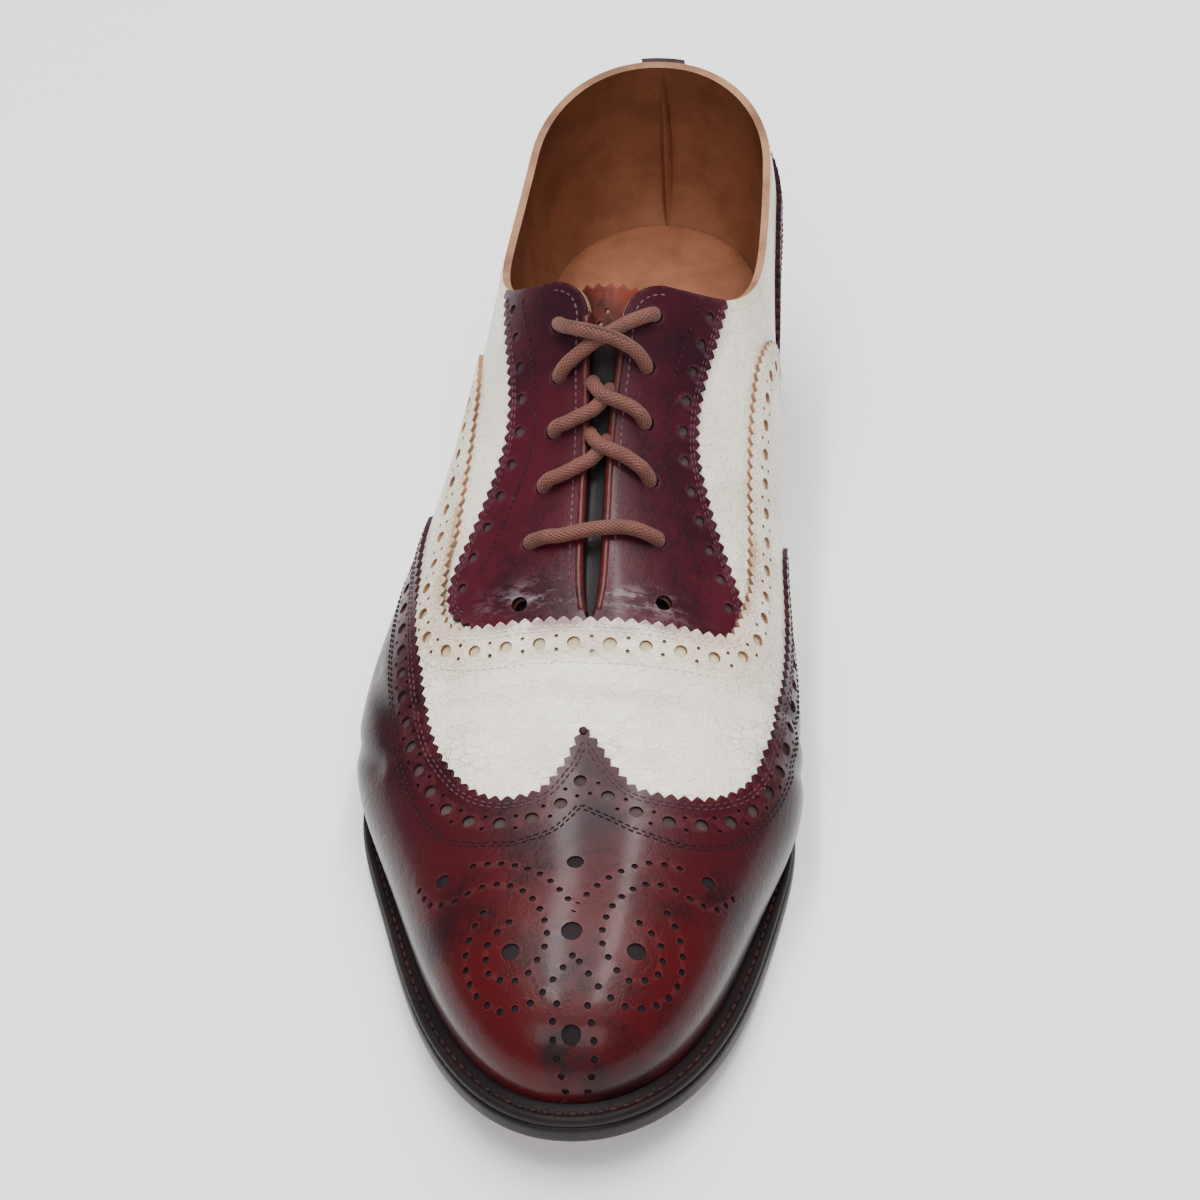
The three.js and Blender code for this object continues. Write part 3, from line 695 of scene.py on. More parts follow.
class Panel:
    """One piece of leather cut from the last's surface, with punched holes.

    ROW_STEP is the height of a row of inner points, RIM_GAP how far they stay off the rim, both as shares of
    the spacing. HOLE_GAP is the same for a hole, as a share of its radius. Points nearer than WELD are one.
    """

    ROW_STEP = 0.87
    RIM_GAP = 0.55
    HOLE_GAP = 1.15
    WELD = 2e-6
    SHARP = math.radians(38)

    def __init__(self, last: Last, outline: Array, holes: Sequence[Array] = (), spacing: float = 2.4 * MM) -> None:
        """Triangulates the piece in the last's chart.

        Args:
            last: the surface.
            outline: closed loop of walk and across.
            holes: loops cut out of it.
            spacing: distance between inner points.
        """
        self.last = last
        metric = last.METRIC
        outline = self._distinct(outline * metric)
        loops = [outline] + [hole * metric for hole in holes]
        low, high = outline.min(0), outline.max(0)
        rows = np.arange(low[1] + spacing / 2, high[1], spacing * self.ROW_STEP)
        columns = np.arange(low[0] + spacing / 2, high[0], spacing)
        grid = np.stack(np.meshgrid(columns, rows), -1)
        grid[1::2, :, 0] += spacing / 2
        grid = grid.reshape(-1, 2)
        grid = grid[inside(grid, outline)]
        rim = np.vstack(loops)
        grid = grid[nearest(grid, rim) > self.RIM_GAP * spacing]
        for hole in loops[1:]:
            centre = hole.mean(0)
            reach = np.abs(hole - centre).max(0) * self.HOLE_GAP
            grid = grid[~(np.abs(grid - centre) < reach).all(1)]
        verts = np.vstack((rim, grid))
        edges = []
        owner = np.full(len(verts), -1)
        start = 0
        for k, loop in enumerate(loops):
            ids = np.arange(start, start + len(loop))
            edges += list(zip(ids.tolist(), np.roll(ids, -1).tolist()))
            owner[ids] = k
            start += len(loop)
        found = delaunay_2d_cdt([Vector(v) for v in verts.tolist()], edges, [], 0, 1e-9, True)
        coords = np.array([tuple(v) for v in found[0]])
        faces = np.array(found[2])
        faces = faces[inside(coords[faces].mean(1), outline)]
        source = np.array([owner[ids[0]] if ids else -1 for ids in found[3]])
        corner = source[faces]
        in_hole = (corner[:, 0] > 0) & (corner[:, 0] == corner[:, 1]) & (corner[:, 1] == corner[:, 2])
        self.chart = coords / metric
        self.faces = faces[~in_hole]
        self.rim = rim / metric

    @staticmethod
    def _distinct(loop: Array) -> Array:
        """Loop without repeated points."""
        keep = np.linalg.norm(loop - np.roll(loop, 1, axis=0), axis=1) > 2e-5
        return loop[keep]

    def mesh(self, name: str, inner: Any, outer: Any, materials: Sequence[bpy.types.Material]) -> bpy.types.Object:
        """Closed body between two heights off the last.

        Args:
            name: name of the piece.
            inner: height of its inner face, or a function of walk and across.
            outer: height of its outer face, or a function of walk and across.
            materials: outer face, cut edge and inner face.

        Returns:
            The piece.
        """
        walk, across = self.chart[:, 0], self.chart[:, 1]
        base = self.last.points(walk, across)
        keys = np.round(base / self.WELD).astype(np.int64)
        _, first, owner = np.unique(keys, axis=0, return_index=True, return_inverse=True)
        owner = owner.reshape(-1)
        faces = owner[self.faces]
        good = (faces[:, 0] != faces[:, 1]) & (faces[:, 1] != faces[:, 2]) & (faces[:, 2] != faces[:, 0])
        faces = faces[good]
        walk, across = walk[first], across[first]
        level = [h(walk, across) if callable(h) else h for h in (inner, outer)]
        low, high = (self.last.offset(walk, across, h) for h in level)
        p = high[faces]
        turn = np.cross(p[:, 1] - p[:, 0], p[:, 2] - p[:, 0])
        out = self.last.normals(walk, across)[faces].mean(1)
        flip = (turn * out).sum(1) < 0
        faces[flip] = faces[flip][:, ::-1]
        count = len(high)
        edges = np.vstack((faces[:, (0, 1)], faces[:, (1, 2)], faces[:, (2, 0)]))
        border = edges[~np.isin(edges @ (count, 1), edges @ (1, count))]
        a, b = border.T
        walls = np.vstack((np.stack((b, a, a + count), 1), np.stack((b, a + count, b + count), 1)))
        verts = np.vstack((high, low))
        every = np.vstack((faces, walls, faces[:, ::-1] + count))
        piece = make_mesh(name, verts, every)
        for material in materials:
            piece.data.materials.append(material)
        index = np.concatenate((np.zeros(len(faces), int), np.ones(len(walls), int), np.full(len(faces), 2)))
        index = np.minimum(index, len(materials) - 1)
        piece.data.polygons.foreach_set("material_index", index.astype(np.int32))
        metric = self.last.METRIC
        rim = nearest(chart_rows(walk, across) * metric, self.rim * metric)
        put_attributes(piece, rim=np.tile(rim, 2), walk=np.tile(walk, 2), across=np.tile(across, 2))
        piece.data.set_sharp_from_angle(angle=self.SHARP)
        return piece


def make_mesh(name: str, verts: Array, faces: Any) -> bpy.types.Object:
    """New smooth mesh object at the origin.

    Args:
        name: name of the piece.
        verts: points in metres.
        faces: corners of each face.

    Returns:
        The object.
    """
    data = bpy.data.meshes.new(name)
    data.from_pydata(np.asarray(verts).tolist(), [], [list(map(int, face)) for face in faces])
    data.validate()
    data.polygons.foreach_set("use_smooth", np.ones(len(data.polygons), bool))
    data.update()
    piece = bpy.data.objects.new(name, data)
    bpy.context.scene.collection.objects.link(piece)
    return piece


def put_attributes(piece: bpy.types.Object, **values: Array) -> None:
    """Stores numbers at each point of a piece.

    Args:
        piece: the piece.
        values: one number for each point, under the attribute's name.
    """
    for name, rows in values.items():
        layer = piece.data.attributes.new(name, "FLOAT", "POINT")
        layer.data.foreach_set("value", np.asarray(rows, np.float32))


def tube(line: Array, radius: float, sides: int, base: int) -> tuple[list, list, list, list]:
    """Closed round tube.

    Args:
        line: points along its middle.
        radius: radius of the tube.
        sides: points round it.
        base: number of its first point.

    Returns:
        Points, faces, angle and run of each point.
    """
    tangent = unit(np.gradient(line, axis=0))
    across = np.cross(tangent[0], (0, 0, 1))
    across = np.array((1.0, 0, 0)) if np.linalg.norm(across) < 1e-6 else across / np.linalg.norm(across)
    run = runs(line)
    verts, faces, angles, lengths = [], [], [], []
    for i, (p, t) in enumerate(zip(line, tangent)):
        across = across - t * (across @ t)
        across /= np.linalg.norm(across)
        up = np.cross(t, across)
        for k in range(sides):
            turn = 2 * math.pi * k / sides
            verts.append(p + radius * (math.cos(turn) * across + math.sin(turn) * up))
            angles.append(turn)
            lengths.append(run[i])
    for i in range(len(line) - 1):
        for k in range(sides):
            a = base + i * sides + k
            b = base + i * sides + (k + 1) % sides
            faces.append((a, b, b + sides, a + sides))
    last = base + (len(line) - 1) * sides
    faces.append([base + k for k in range(sides - 1, -1, -1)])
    faces.append([last + k for k in range(sides)])
    return verts, faces, angles, lengths


class Field:
    """A shader socket that takes part in arithmetic."""

    def __init__(self, graph: "Graph", socket: bpy.types.NodeSocket) -> None:
        """Wraps a socket."""
        self.graph = graph
        self.socket = socket

    def _math(self, operation: str, *values: Any) -> "Field":
        """Math node over numbers and fields."""
        return self.graph.node("ShaderNodeMath", {"operation": operation}, dict(enumerate(values)))

    def __add__(self, other: Any) -> "Field":
        """Sum."""
        return self._math("ADD", self, other)

    __radd__ = __add__

    def __mul__(self, other: Any) -> "Field":
        """Product."""
        return self._math("MULTIPLY", self, other)

    __rmul__ = __mul__

    def __sub__(self, other: Any) -> "Field":
        """Difference."""
        return self._math("SUBTRACT", self, other)

    def __rsub__(self, other: Any) -> "Field":
        """Difference from a number."""
        return self._math("SUBTRACT", other, self)

    def absolute(self) -> "Field":
        """Size without sign."""
        return self._math("ABSOLUTE", self)

    def sine(self) -> "Field":
        """Sine."""
        return self._math("SINE", self)

    def most(self, other: Any) -> "Field":
        """Larger of two values."""
        return self._math("MAXIMUM", self, other)

    def ramp(self, low: float, high: float, start: float = 0.0, end: float = 1.0) -> "Field":
        """Smooth ramp.

        Args:
            low: value where it starts.
            high: value where it ends.
            start: result before low.
            end: result after high.

        Returns:
            The result.
        """
        settings = {"interpolation_type": "SMOOTHSTEP", "clamp": True}
        if low > high:
            low, high, start, end = high, low, end, start
        return self.graph.node("ShaderNodeMapRange", settings, {0: self, 1: low, 2: high, 3: start, 4: end})


class Graph:
    """Node graph of one material."""

    def __init__(self, name: str) -> None:
        """Starts an empty material.

        Args:
            name: name of the material.
        """
        self.material = bpy.data.materials.new(name)
        self.material.use_nodes = True
        self.tree = self.material.node_tree
        self.tree.nodes.clear()
        self._place = None

    def node(self, kind: str, settings: dict | None = None, inputs: dict | None = None, output: Any = 0) -> Field:
        """Adds a node and gives one of its outputs."""
        plain = {key: value.socket if isinstance(value, Field) else value for key, value in (inputs or {}).items()}
        return Field(self, add_node(self.tree, kind, settings, plain).outputs[output])

    def place(self) -> Field:
        """Object coordinates.

        Returns:
            The coordinates.
        """
        if self._place is None:
            self._place = self.node("ShaderNodeTexCoord", output="Object")
        return self._place

    def attribute(self, name: str) -> Field:
        """Number stored at each point."""
        return self.node("ShaderNodeAttribute", {"attribute_name": name}, output="Fac")

    def stretched(self, scale: Sequence[float]) -> Field:
        """Object coordinates times a vector."""
        return self.node("ShaderNodeVectorMath", {"operation": "MULTIPLY"}, {0: self.place(), 1: tuple(scale)})

    def noise(self, scale: float, detail: float = 3.0, rough: float = 0.55, vector: Field | None = None) -> Field:
        """Cloudy noise."""
        inputs = {"Vector": vector or self.place(), "Scale": scale, "Detail": detail, "Roughness": rough}
        return self.node("ShaderNodeTexNoise", {}, inputs)

    def cells(self, scale: float, feature: str = "F1", vector: Field | None = None) -> Field:
        """Distance in a cell pattern."""
        inputs = {"Vector": vector or self.place(), "Scale": scale, "Randomness": 1.0}
        return self.node("ShaderNodeTexVoronoi", {"feature": feature}, inputs, "Distance")

    def blend(self, factor: Any, first: Any, second: Any) -> Field:
        """Blend of two colours.

        Args:
            factor: share of the second.
            first: colour or field.
            second: colour or field.

        Returns:
            The colour.
        """
        first = first if isinstance(first, Field) else (*first, 1.0)
        second = second if isinstance(second, Field) else (*second, 1.0)
        settings = {"data_type": "RGBA", "blend_type": "MIX", "clamp_factor": True}
        return self.node("ShaderNodeMix", settings, {0: factor, 6: first, 7: second}, 2)

    def bump(self, height: Field, distance: float, strength: float = 1.0) -> Field:
        """Normal from a height in units of distance."""
        return self.node("ShaderNodeBump", {}, {"Height": height, "Distance": distance, "Strength": strength})

    def finish(self, **inputs: Any) -> bpy.types.Material:
        """Closes the graph with one principled shader.

        Args:
            inputs: its inputs, with underscores for spaces.

        Returns:
            The material.
        """
        named = {key.replace("_", " "): value for key, value in inputs.items()}
        shader = self.node("ShaderNodeBsdfPrincipled", {}, named)
        add_node(self.tree, "ShaderNodeOutputMaterial", None, {"Surface": shader.socket})
        return self.material

def srgb(red: int, green: int, blue: int) -> tuple[float, float, float]:
    """Linear colour from screen values."""
    return tuple(((c / 255 + 0.055) / 1.055) ** 2.4 if c > 10 else c / 255 / 12.92 for c in (red, green, blue))


@dataclass(frozen=True)
class DyedLeather:
    """Polished dyed calf: mottled, darker at the sides, with fine scratches."""

    name: str
    base: tuple
    deep: tuple
    toe: tuple
    worn: tuple
    rough: float = 0.32
    coat: float = 0.35

    def build(self) -> bpy.types.Material:
        """Makes the material.

        Returns:
            The material.
        """
        g = Graph(self.name)
        cloud = g.noise(38, 4, 0.6)
        fine = g.noise(420, 3, 0.6)
        veins = g.noise(95, 6, 0.65)
        colour = g.blend(g.attribute("tone"), self.base, self.toe)
        colour = g.blend(cloud.ramp(0.42, 0.68, 0.0, 0.75), colour, self.deep)
        colour = g.blend((veins - 0.5).absolute().ramp(0.035, 0.004) * cloud.ramp(0.4, 0.6) * 0.55, colour, self.deep)
        colour = g.blend(g.attribute("dark"), colour, self.deep)
        edge = g.attribute("rim").ramp(0.0009, 0.0001) * fine.ramp(0.35, 0.6)
        colour = g.blend(edge * 0.12, colour, self.worn)
        streaks = g.noise(150, 5, 0.7, g.stretched((1.0, 0.22, 1.0))).ramp(0.64, 0.72)
        colour = g.blend(streaks * 0.12, colour, self.worn)
        rubbed = g.noise(210, 5, 0.75, g.stretched((0.45, 1.4, 1.0))).ramp(0.47, 0.60) * g.attribute("scuffs")
        colour = g.blend(rubbed * 0.75, colour, srgb(128, 116, 122))
        split = g.cells(120, "DISTANCE_TO_EDGE", g.stretched((0.5, 1.6, 0.5))).ramp(0.10, 0.02)
        split = split * g.attribute("cracks")
        colour = g.blend(split * 0.8, colour, srgb(20, 10, 14))
        stain = g.attribute("stain") * g.noise(130, 5, 0.7).ramp(0.36, 0.52)
        colour = g.blend(stain * 0.9, colour, srgb(22, 13, 17))
        height = g.cells(1500, "F1").ramp(0.0, 0.5) * 0.2 + g.noise(260, 4, 0.6) * 0.8 + fine * 0.3
        normal = g.bump(height - split * 0.9 - (1 - (veins - 0.5).absolute().ramp(0.0, 0.05)) * 0.25, 0.00022, 0.5)
        rough = self.rough + (cloud - 0.5) * 0.2 + streaks * 0.15 + rubbed * 0.3 + stain * 0.2
        return g.finish(
            Base_Color=colour, Roughness=rough, Normal=normal, Coat_Weight=self.coat, Coat_Roughness=0.15,
            Specular_IOR_Level=0.22, IOR=1.35, Coat_IOR=1.33,
        )


@dataclass(frozen=True)
class PaleLeather:
    """Aged white calf, yellowed at its edges and round its holes."""

    name: str
    base: tuple
    shade: tuple
    stain: tuple
    grime: tuple

    def build(self) -> bpy.types.Material:
        """Makes the material.

        Returns:
            The material.
        """
        g = Graph(self.name)
        cloud = g.noise(45, 4, 0.6)
        patch = g.noise(120, 4, 0.65)
        fine = g.noise(900, 2, 0.5)
        dirty = g.attribute("dark")
        colour = g.blend(cloud.ramp(0.4, 0.68, 0.0, 0.85), self.base, self.shade)
        near = g.attribute("rim").ramp(0.0026, 0.0003) * patch.ramp(0.36, 0.62, 0.2, 1.0)
        colour = g.blend(near * 0.42, colour, self.stain)
        spots = patch.ramp(0.60, 0.72) * dirty.ramp(0.0, 1.0, 0.10, 1.0)
        colour = g.blend(spots * 0.5, colour, self.stain)
        crack = g.cells(260, "DISTANCE_TO_EDGE", g.stretched((1.0, 1.7, 1.0))).ramp(0.045, 0.008)
        crack = crack * g.noise(70, 2, 0.5).ramp(0.50, 0.62) * dirty.ramp(0.0, 1.0, 0.25, 1.0)
        colour = g.blend(crack * 0.35, colour, self.grime)
        specks = g.cells(330, "F1").ramp(0.10, 0.05) * g.noise(60, 1, 0.5).ramp(0.50, 0.60)
        colour = g.blend(specks * 0.55, colour, self.grime)
        colour = g.blend(g.attribute("rust") * patch.ramp(0.35, 0.6, 0.3, 1.0) * 0.8, colour, srgb(158, 106, 62))
        colour = g.blend(g.attribute("dye") * patch.ramp(0.36, 0.54, 0.3, 1.0) * 0.9, colour, srgb(112, 70, 90))
        lines = (g.noise(190, 5, 0.6, g.stretched((0.8, 1.7, 0.8))) - 0.5).absolute().ramp(0.0, 0.08)
        height = g.cells(900, "F1").ramp(0.0, 0.6) * 0.35 + g.noise(300, 4, 0.6) * 0.9 + fine * 0.2 - crack * 0.6
        normal = g.bump(height + lines * 0.45, 0.0004, 0.85)
        rough = 0.46 + (patch - 0.5) * 0.2
        return g.finish(Base_Color=colour, Roughness=rough, Normal=normal, Coat_Weight=0.12, Coat_Roughness=0.3)


@dataclass(frozen=True)
class PlainLeather:
    """Matt leather with a soft grain, for linings, edges, soles and the tongue."""

    name: str
    base: tuple
    deep: tuple
    rough: float = 0.6
    grain: float = 500
    coat: float = 0.0
    depth: float = 0.0002

    def build(self) -> bpy.types.Material:
        """Makes the material.

        Returns:
            The material.
        """
        g = Graph(self.name)
        cloud = g.noise(70, 5, 0.6)
        fine = g.noise(self.grain, 4, 0.6)
        colour = g.blend(cloud.ramp(0.35, 0.68, 0.0, 0.8), self.base, self.deep)
        colour = g.blend(fine.ramp(0.55, 0.75) * 0.3, colour, self.deep)
        normal = g.bump(fine + g.cells(self.grain * 2, "F1") * 0.3, self.depth, 0.6)
        rough = self.rough + (cloud - 0.5) * 0.2
        return g.finish(
            Base_Color=colour, Roughness=rough, Normal=normal, Coat_Weight=self.coat, Coat_Roughness=0.25,
            Specular_IOR_Level=0.22,
        )


@dataclass(frozen=True)
class Cord:
    """Waxed round lace with a fine braid and painted shade in the braid's grooves."""

    name: str
    base: tuple
    deep: tuple
    strands: int = 12
    pitch: float = 5200

    def build(self) -> bpy.types.Material:
        """Makes the material.

        Returns:
            The material.
        """
        g = Graph(self.name)
        around, run = g.attribute("around"), g.attribute("run")
        left, right = around * self.strands + run * self.pitch, around * self.strands - run * self.pitch
        braid = left.sine().most(right.sine())
        fuzz = g.noise(2600, 3, 0.7)
        # Painted shade: where the braid's strands dip into grooves the colour darkens towards the deep colour.
        shade = braid.ramp(-0.2, 0.9) * 0.7 + fuzz.ramp(0.3, 0.7) * 0.3
        colour = g.blend(shade, self.deep, self.base)
        colour = g.blend(g.noise(160, 3, 0.6).ramp(0.45, 0.7) * 0.4, colour, self.deep)
        normal = g.bump(braid * 0.5 + fuzz * 0.8, 0.00022, 0.8)
        return g.finish(Base_Color=colour, Roughness=0.62, Normal=normal, Sheen_Weight=0.08, Sheen_Roughness=0.4)


class Finishes:
    """Every material of the shoe."""

    def __init__(self) -> None:
        """Builds the materials."""
        self.white = PaleLeather(
            "white_leather", srgb(240, 232, 216), srgb(222, 211, 192), srgb(182, 148, 100), srgb(104, 84, 64)
        ).build()
        self.wing = DyedLeather(
            "toe_leather", srgb(54, 14, 21), srgb(20, 6, 12), srgb(66, 12, 16), srgb(120, 66, 66), 0.34, 0.26
        ).build()
        self.burgundy = DyedLeather(
            "burgundy_leather", srgb(56, 16, 27), srgb(31, 10, 19), srgb(68, 17, 28), srgb(118, 84, 98), 0.40, 0.22
        ).build()
        self.fold = DyedLeather(
            "fold_leather", srgb(56, 17, 20), srgb(32, 11, 15), srgb(82, 25, 24), srgb(120, 66, 62), 0.34, 0.35
        ).build()
        # The tongue's near-black deep colour is painted shadow for its part down in the gap between the facings.
        self.tongue = DyedLeather(
            "tongue_leather", srgb(76, 27, 20), srgb(10, 4, 4), srgb(98, 38, 26), srgb(130, 78, 60), 0.5, 0.08
        ).build()
        self.lining = PlainLeather("lining_leather", srgb(130, 82, 57), srgb(108, 65, 44), 0.62, 600).build()
        self.raw_edge = PlainLeather("raw_edge", srgb(150, 112, 84), srgb(104, 70, 52), 0.8, 1400).build()
        self.dark_edge = PlainLeather("dark_edge", srgb(56, 24, 32), srgb(30, 13, 18), 0.6, 1400).build()
        # The grey layer under punched rows is darkened with painted shade for its holes.
        self.band_backing_and_shade = PlainLeather("band_backing_and_shade", srgb(72, 60, 58), srgb(38, 30, 30), 0.85, 1200).build()
        self.hole_cloth = PlainLeather("hole_cloth", srgb(214, 203, 172), srgb(170, 154, 118), 0.85, 1200).build()
        # The near-black layer under the medallion is painted shade for its holes, standing in for the hidden layer
        # below.
        self.backing_and_shade = PlainLeather("hole_shade_sheet", srgb(26, 16, 21), srgb(14, 9, 12), 0.8, 900).build()
        self.sole = PlainLeather("sole_leather", srgb(24, 11, 13), srgb(12, 6, 8), 0.5, 700, 0.04).build()
        self.welt = PlainLeather("welt_leather", srgb(24, 10, 13), srgb(12, 6, 8), 0.6, 900, 0.0).build()
        self.rubber = PlainLeather("rubber", srgb(26, 24, 24), srgb(16, 15, 15), 0.75, 900, 0.0, 0.0001).build()
        self.bottom = PlainLeather("sole_bottom", srgb(104, 68, 46), srgb(60, 38, 28), 0.6, 500).build()
        self.lace = Cord("lace", srgb(116, 61, 45), srgb(50, 23, 18)).build()
        self.purple_thread = PlainLeather("purple_thread", srgb(84, 48, 64), srgb(50, 28, 40), 0.6, 2500).build()
        self.lilac_thread = PlainLeather("lilac_thread", srgb(112, 78, 88), srgb(70, 44, 54), 0.6, 2500).build()
        self.dark_thread = PlainLeather("dark_thread", srgb(24, 9, 18), srgb(12, 6, 10), 0.6, 2500).build()
        self.pale_thread = PlainLeather("pale_thread", srgb(222, 214, 198), srgb(190, 178, 156), 0.7, 2500).build()
        self.brown_thread = PlainLeather("brown_thread", srgb(56, 28, 24), srgb(28, 14, 13), 0.6, 2500).build()


def add_node(
    tree: bpy.types.NodeTree, kind: str, settings: dict | None = None, inputs: dict | None = None,
) -> bpy.types.Node:
    """Adds a node to a tree.

    Args:
        tree: the tree.
        kind: node type.
        settings: properties of the node.
        inputs: value or link for each input, by name or number.

    Returns:
        The node.
    """
    node = tree.nodes.new(kind)
    for key, value in (settings or {}).items():
        setattr(node, key, value)
    for key, value in (inputs or {}).items():
        if isinstance(value, bpy.types.NodeSocket):
            tree.links.new(value, node.inputs[key])
        else:
            node.inputs[key].default_value = value
    return node


class Repeater:
    """Sets one small bead at each of many places, through a node tree that is built once."""

    SEGMENTS = 8
    RINGS = 5
    SEED = 7

    def __init__(self) -> None:
        """Builds the tree."""
        tree = bpy.data.node_groups.new("beads", "GeometryNodeTree")
        face = tree.interface
        face.new_socket("Places", in_out="INPUT", socket_type="NodeSocketGeometry")
        self.ids = {
            label: face.new_socket(label, in_out="INPUT", socket_type="NodeSocket" + kind).identifier
            for label, kind in (("Size", "Vector"), ("Spread", "Float"), ("Seed", "Int"), ("Finish", "Material"))
        }
        face.new_socket("Beads", in_out="OUTPUT", socket_type="NodeSocketGeometry")
        given = add_node(tree, "NodeGroupInput").outputs
        sizes = {"Segments": self.SEGMENTS, "Rings": self.RINGS, "Radius": 0.5}
        ball = add_node(tree, "GeometryNodeMeshUVSphere", None, sizes)
        named = [
            add_node(tree, "GeometryNodeInputNamedAttribute", {"data_type": "FLOAT_VECTOR"}, {0: label}).outputs[0]
            for label in ("along", "out")
        ]
        axes = {"primary_axis": "X", "secondary_axis": "Z"}
        turn = add_node(tree, "FunctionNodeAxesToRotation", axes, dict(enumerate(named)))
        low = add_node(tree, "ShaderNodeMath", {"operation": "SUBTRACT"}, {0: 1.0, 1: given["Spread"]})
        span = {"Seed": given["Seed"], 2: low.outputs[0], 3: 1.0}
        chance = add_node(tree, "FunctionNodeRandomValue", {"data_type": "FLOAT"}, span)
        both = {0: given["Size"], "Scale": chance.outputs[1]}
        scale = add_node(tree, "ShaderNodeVectorMath", {"operation": "SCALE"}, both)
        copies = add_node(tree, "GeometryNodeInstanceOnPoints", None, {
            "Points": given["Places"], "Instance": ball.outputs["Mesh"],
            "Rotation": turn.outputs[0], "Scale": scale.outputs[0],
        })
        real = add_node(tree, "GeometryNodeRealizeInstances", None, {0: copies.outputs[0]})
        soft = add_node(tree, "GeometryNodeSetShadeSmooth", None, {0: real.outputs[0]})
        dress = {"Geometry": soft.outputs[0], "Material": given["Finish"]}
        paint = add_node(tree, "GeometryNodeSetMaterial", None, dress)
        add_node(tree, "NodeGroupOutput", None, {0: paint.outputs[0]})
        self.tree = tree

    def beads(
        self, name: str, places: Array, along: Array, out: Array, size: Sequence[float],
        finish: bpy.types.Material, spread: float = 0.15,
    ) -> bpy.types.Object:
        """Row of beads as one plain mesh.

        Args:
            name: name of the piece.
            places: middle of each bead.
            along: direction of each bead's length.
            out: direction of each bead's top.
            size: length, width and height of a bead.
            finish: material of the beads.
            spread: how much smaller a bead may be.

        Returns:
            The piece.
        """
        data = bpy.data.meshes.new(name)
        data.from_pydata(places.tolist(), [], [])
        for label, rows in (("along", along), ("out", out)):
            layer = data.attributes.new(label, "FLOAT_VECTOR", "POINT")
            layer.data.foreach_set("vector", np.ascontiguousarray(rows, np.float32).ravel())
        carrier = bpy.data.objects.new(name + "_places", data)
        bpy.context.scene.collection.objects.link(carrier)
        modifier = carrier.modifiers.new("beads", "NODES")
        modifier.node_group = self.tree
        for label, value in (("Size", tuple(size)), ("Spread", spread), ("Seed", self.SEED), ("Finish", finish)):
            modifier[self.ids[label]] = value
        graph = bpy.context.evaluated_depsgraph_get()
        real = bpy.data.meshes.new_from_object(carrier.evaluated_get(graph), depsgraph=graph)
        real.name = name
        bpy.data.objects.remove(carrier)
        piece = bpy.data.objects.new(name, real)
        bpy.context.scene.collection.objects.link(piece)
        return piece


@dataclass(frozen=True)
class Stitching:
    """Sizes of a row of stitches."""

    pitch: float = 1.8 * MM
    length: float = 1.5 * MM
    width: float = 0.48 * MM
    rise: float = 0.36 * MM


@dataclass(frozen=True)
class LayerHeights:
    """Heights of the upper's layers off the last."""

    wall: float = 2.0 * MM
    vamp: float = 2.65 * MM
    vamp_lift: float = 1.75 * MM
    overlay_in: float = 2.1 * MM
    facing: float = 3.3 * MM
    wing: float = 3.8 * MM
    counter: float = 3.4 * MM
    tongue_in: float = -1.8 * MM
    tongue_out: float = -0.3 * MM
    lace: float = 5.4 * MM


@dataclass(frozen=True)
class Pinking:
    """Toothed edge and its punched row."""

    pitch: float = 2.9 * MM
    depth: float = 1.3 * MM
    hole: float = 1.5 * MM
    facing_hole: float = 1.25 * MM
    small: float = 0.5 * MM
    vamp_pitch: float = 7.7 * MM
    wing_pitch: float = 7.15 * MM
    facing_pitch: float = 7.9 * MM
    pair: float = 1.6 * MM


# Edge lines: walk and climb from the middle outwards
WING_LATERAL = (
    (0.332, 0.992), (0.319, 0.986), (0.306, 0.966), (0.286, 0.911), (0.280, 0.811), (0.290, 0.722), (0.316, 0.649),
    (0.345, 0.610), (0.384, 0.568), (0.439, 0.494), (0.485, 0.417), (0.521, 0.345), (0.540, 0.30), (0.557, 0.21),
    (0.570, 0.10), (0.578, 0.0),
)
WING_MEDIAL = (
    (0.332, 0.992), (0.321, 0.966), (0.309, 0.934), (0.292, 0.850), (0.296, 0.672), (0.313, 0.556), (0.334, 0.502),
    (0.369, 0.448), (0.425, 0.363), (0.487, 0.290), (0.530, 0.262), (0.545, 0.23), (0.557, 0.17), (0.570, 0.09),
    (0.578, 0.0),
)
LOBE_LATERAL = (
    (0.277, 0.974), (0.267, 0.975), (0.256, 0.938), (0.248, 0.87), (0.245, 0.807), (0.252, 0.645), (0.277, 0.560),
    (0.310, 0.525), (0.354, 0.495), (0.392, 0.460), (0.445, 0.390), (0.490, 0.310), (0.515, 0.24), (0.530, 0.15),
    (0.540, 0.0),
)
LOBE_MEDIAL = (
    (0.277, 0.974), (0.268, 0.91), (0.262, 0.84), (0.259, 0.683), (0.275, 0.525), (0.304, 0.432), (0.345, 0.372),
    (0.395, 0.310), (0.450, 0.245), (0.495, 0.195), (0.520, 0.14), (0.535, 0.07), (0.542, 0.0),
)
VAMP_LATERAL = (
    (0.4065, 0.999), (0.4065, 0.93), (0.406, 0.857), (0.4065, 0.718), (0.415, 0.637), (0.437, 0.594), (0.470, 0.572),
    (0.498, 0.555), (0.53, 0.537), (0.57, 0.510), (0.61, 0.465), (0.65, 0.37), (0.675, 0.22), (0.685, 0.0),
)
VAMP_MEDIAL = (
    (0.4065, 0.999), (0.408, 0.92), (0.411, 0.811), (0.4165, 0.660), (0.425, 0.595), (0.444, 0.555), (0.480, 0.500),
    (0.517, 0.477), (0.556, 0.477), (0.600, 0.472), (0.64, 0.44), (0.675, 0.35), (0.695, 0.2), (0.705, 0.0),
)
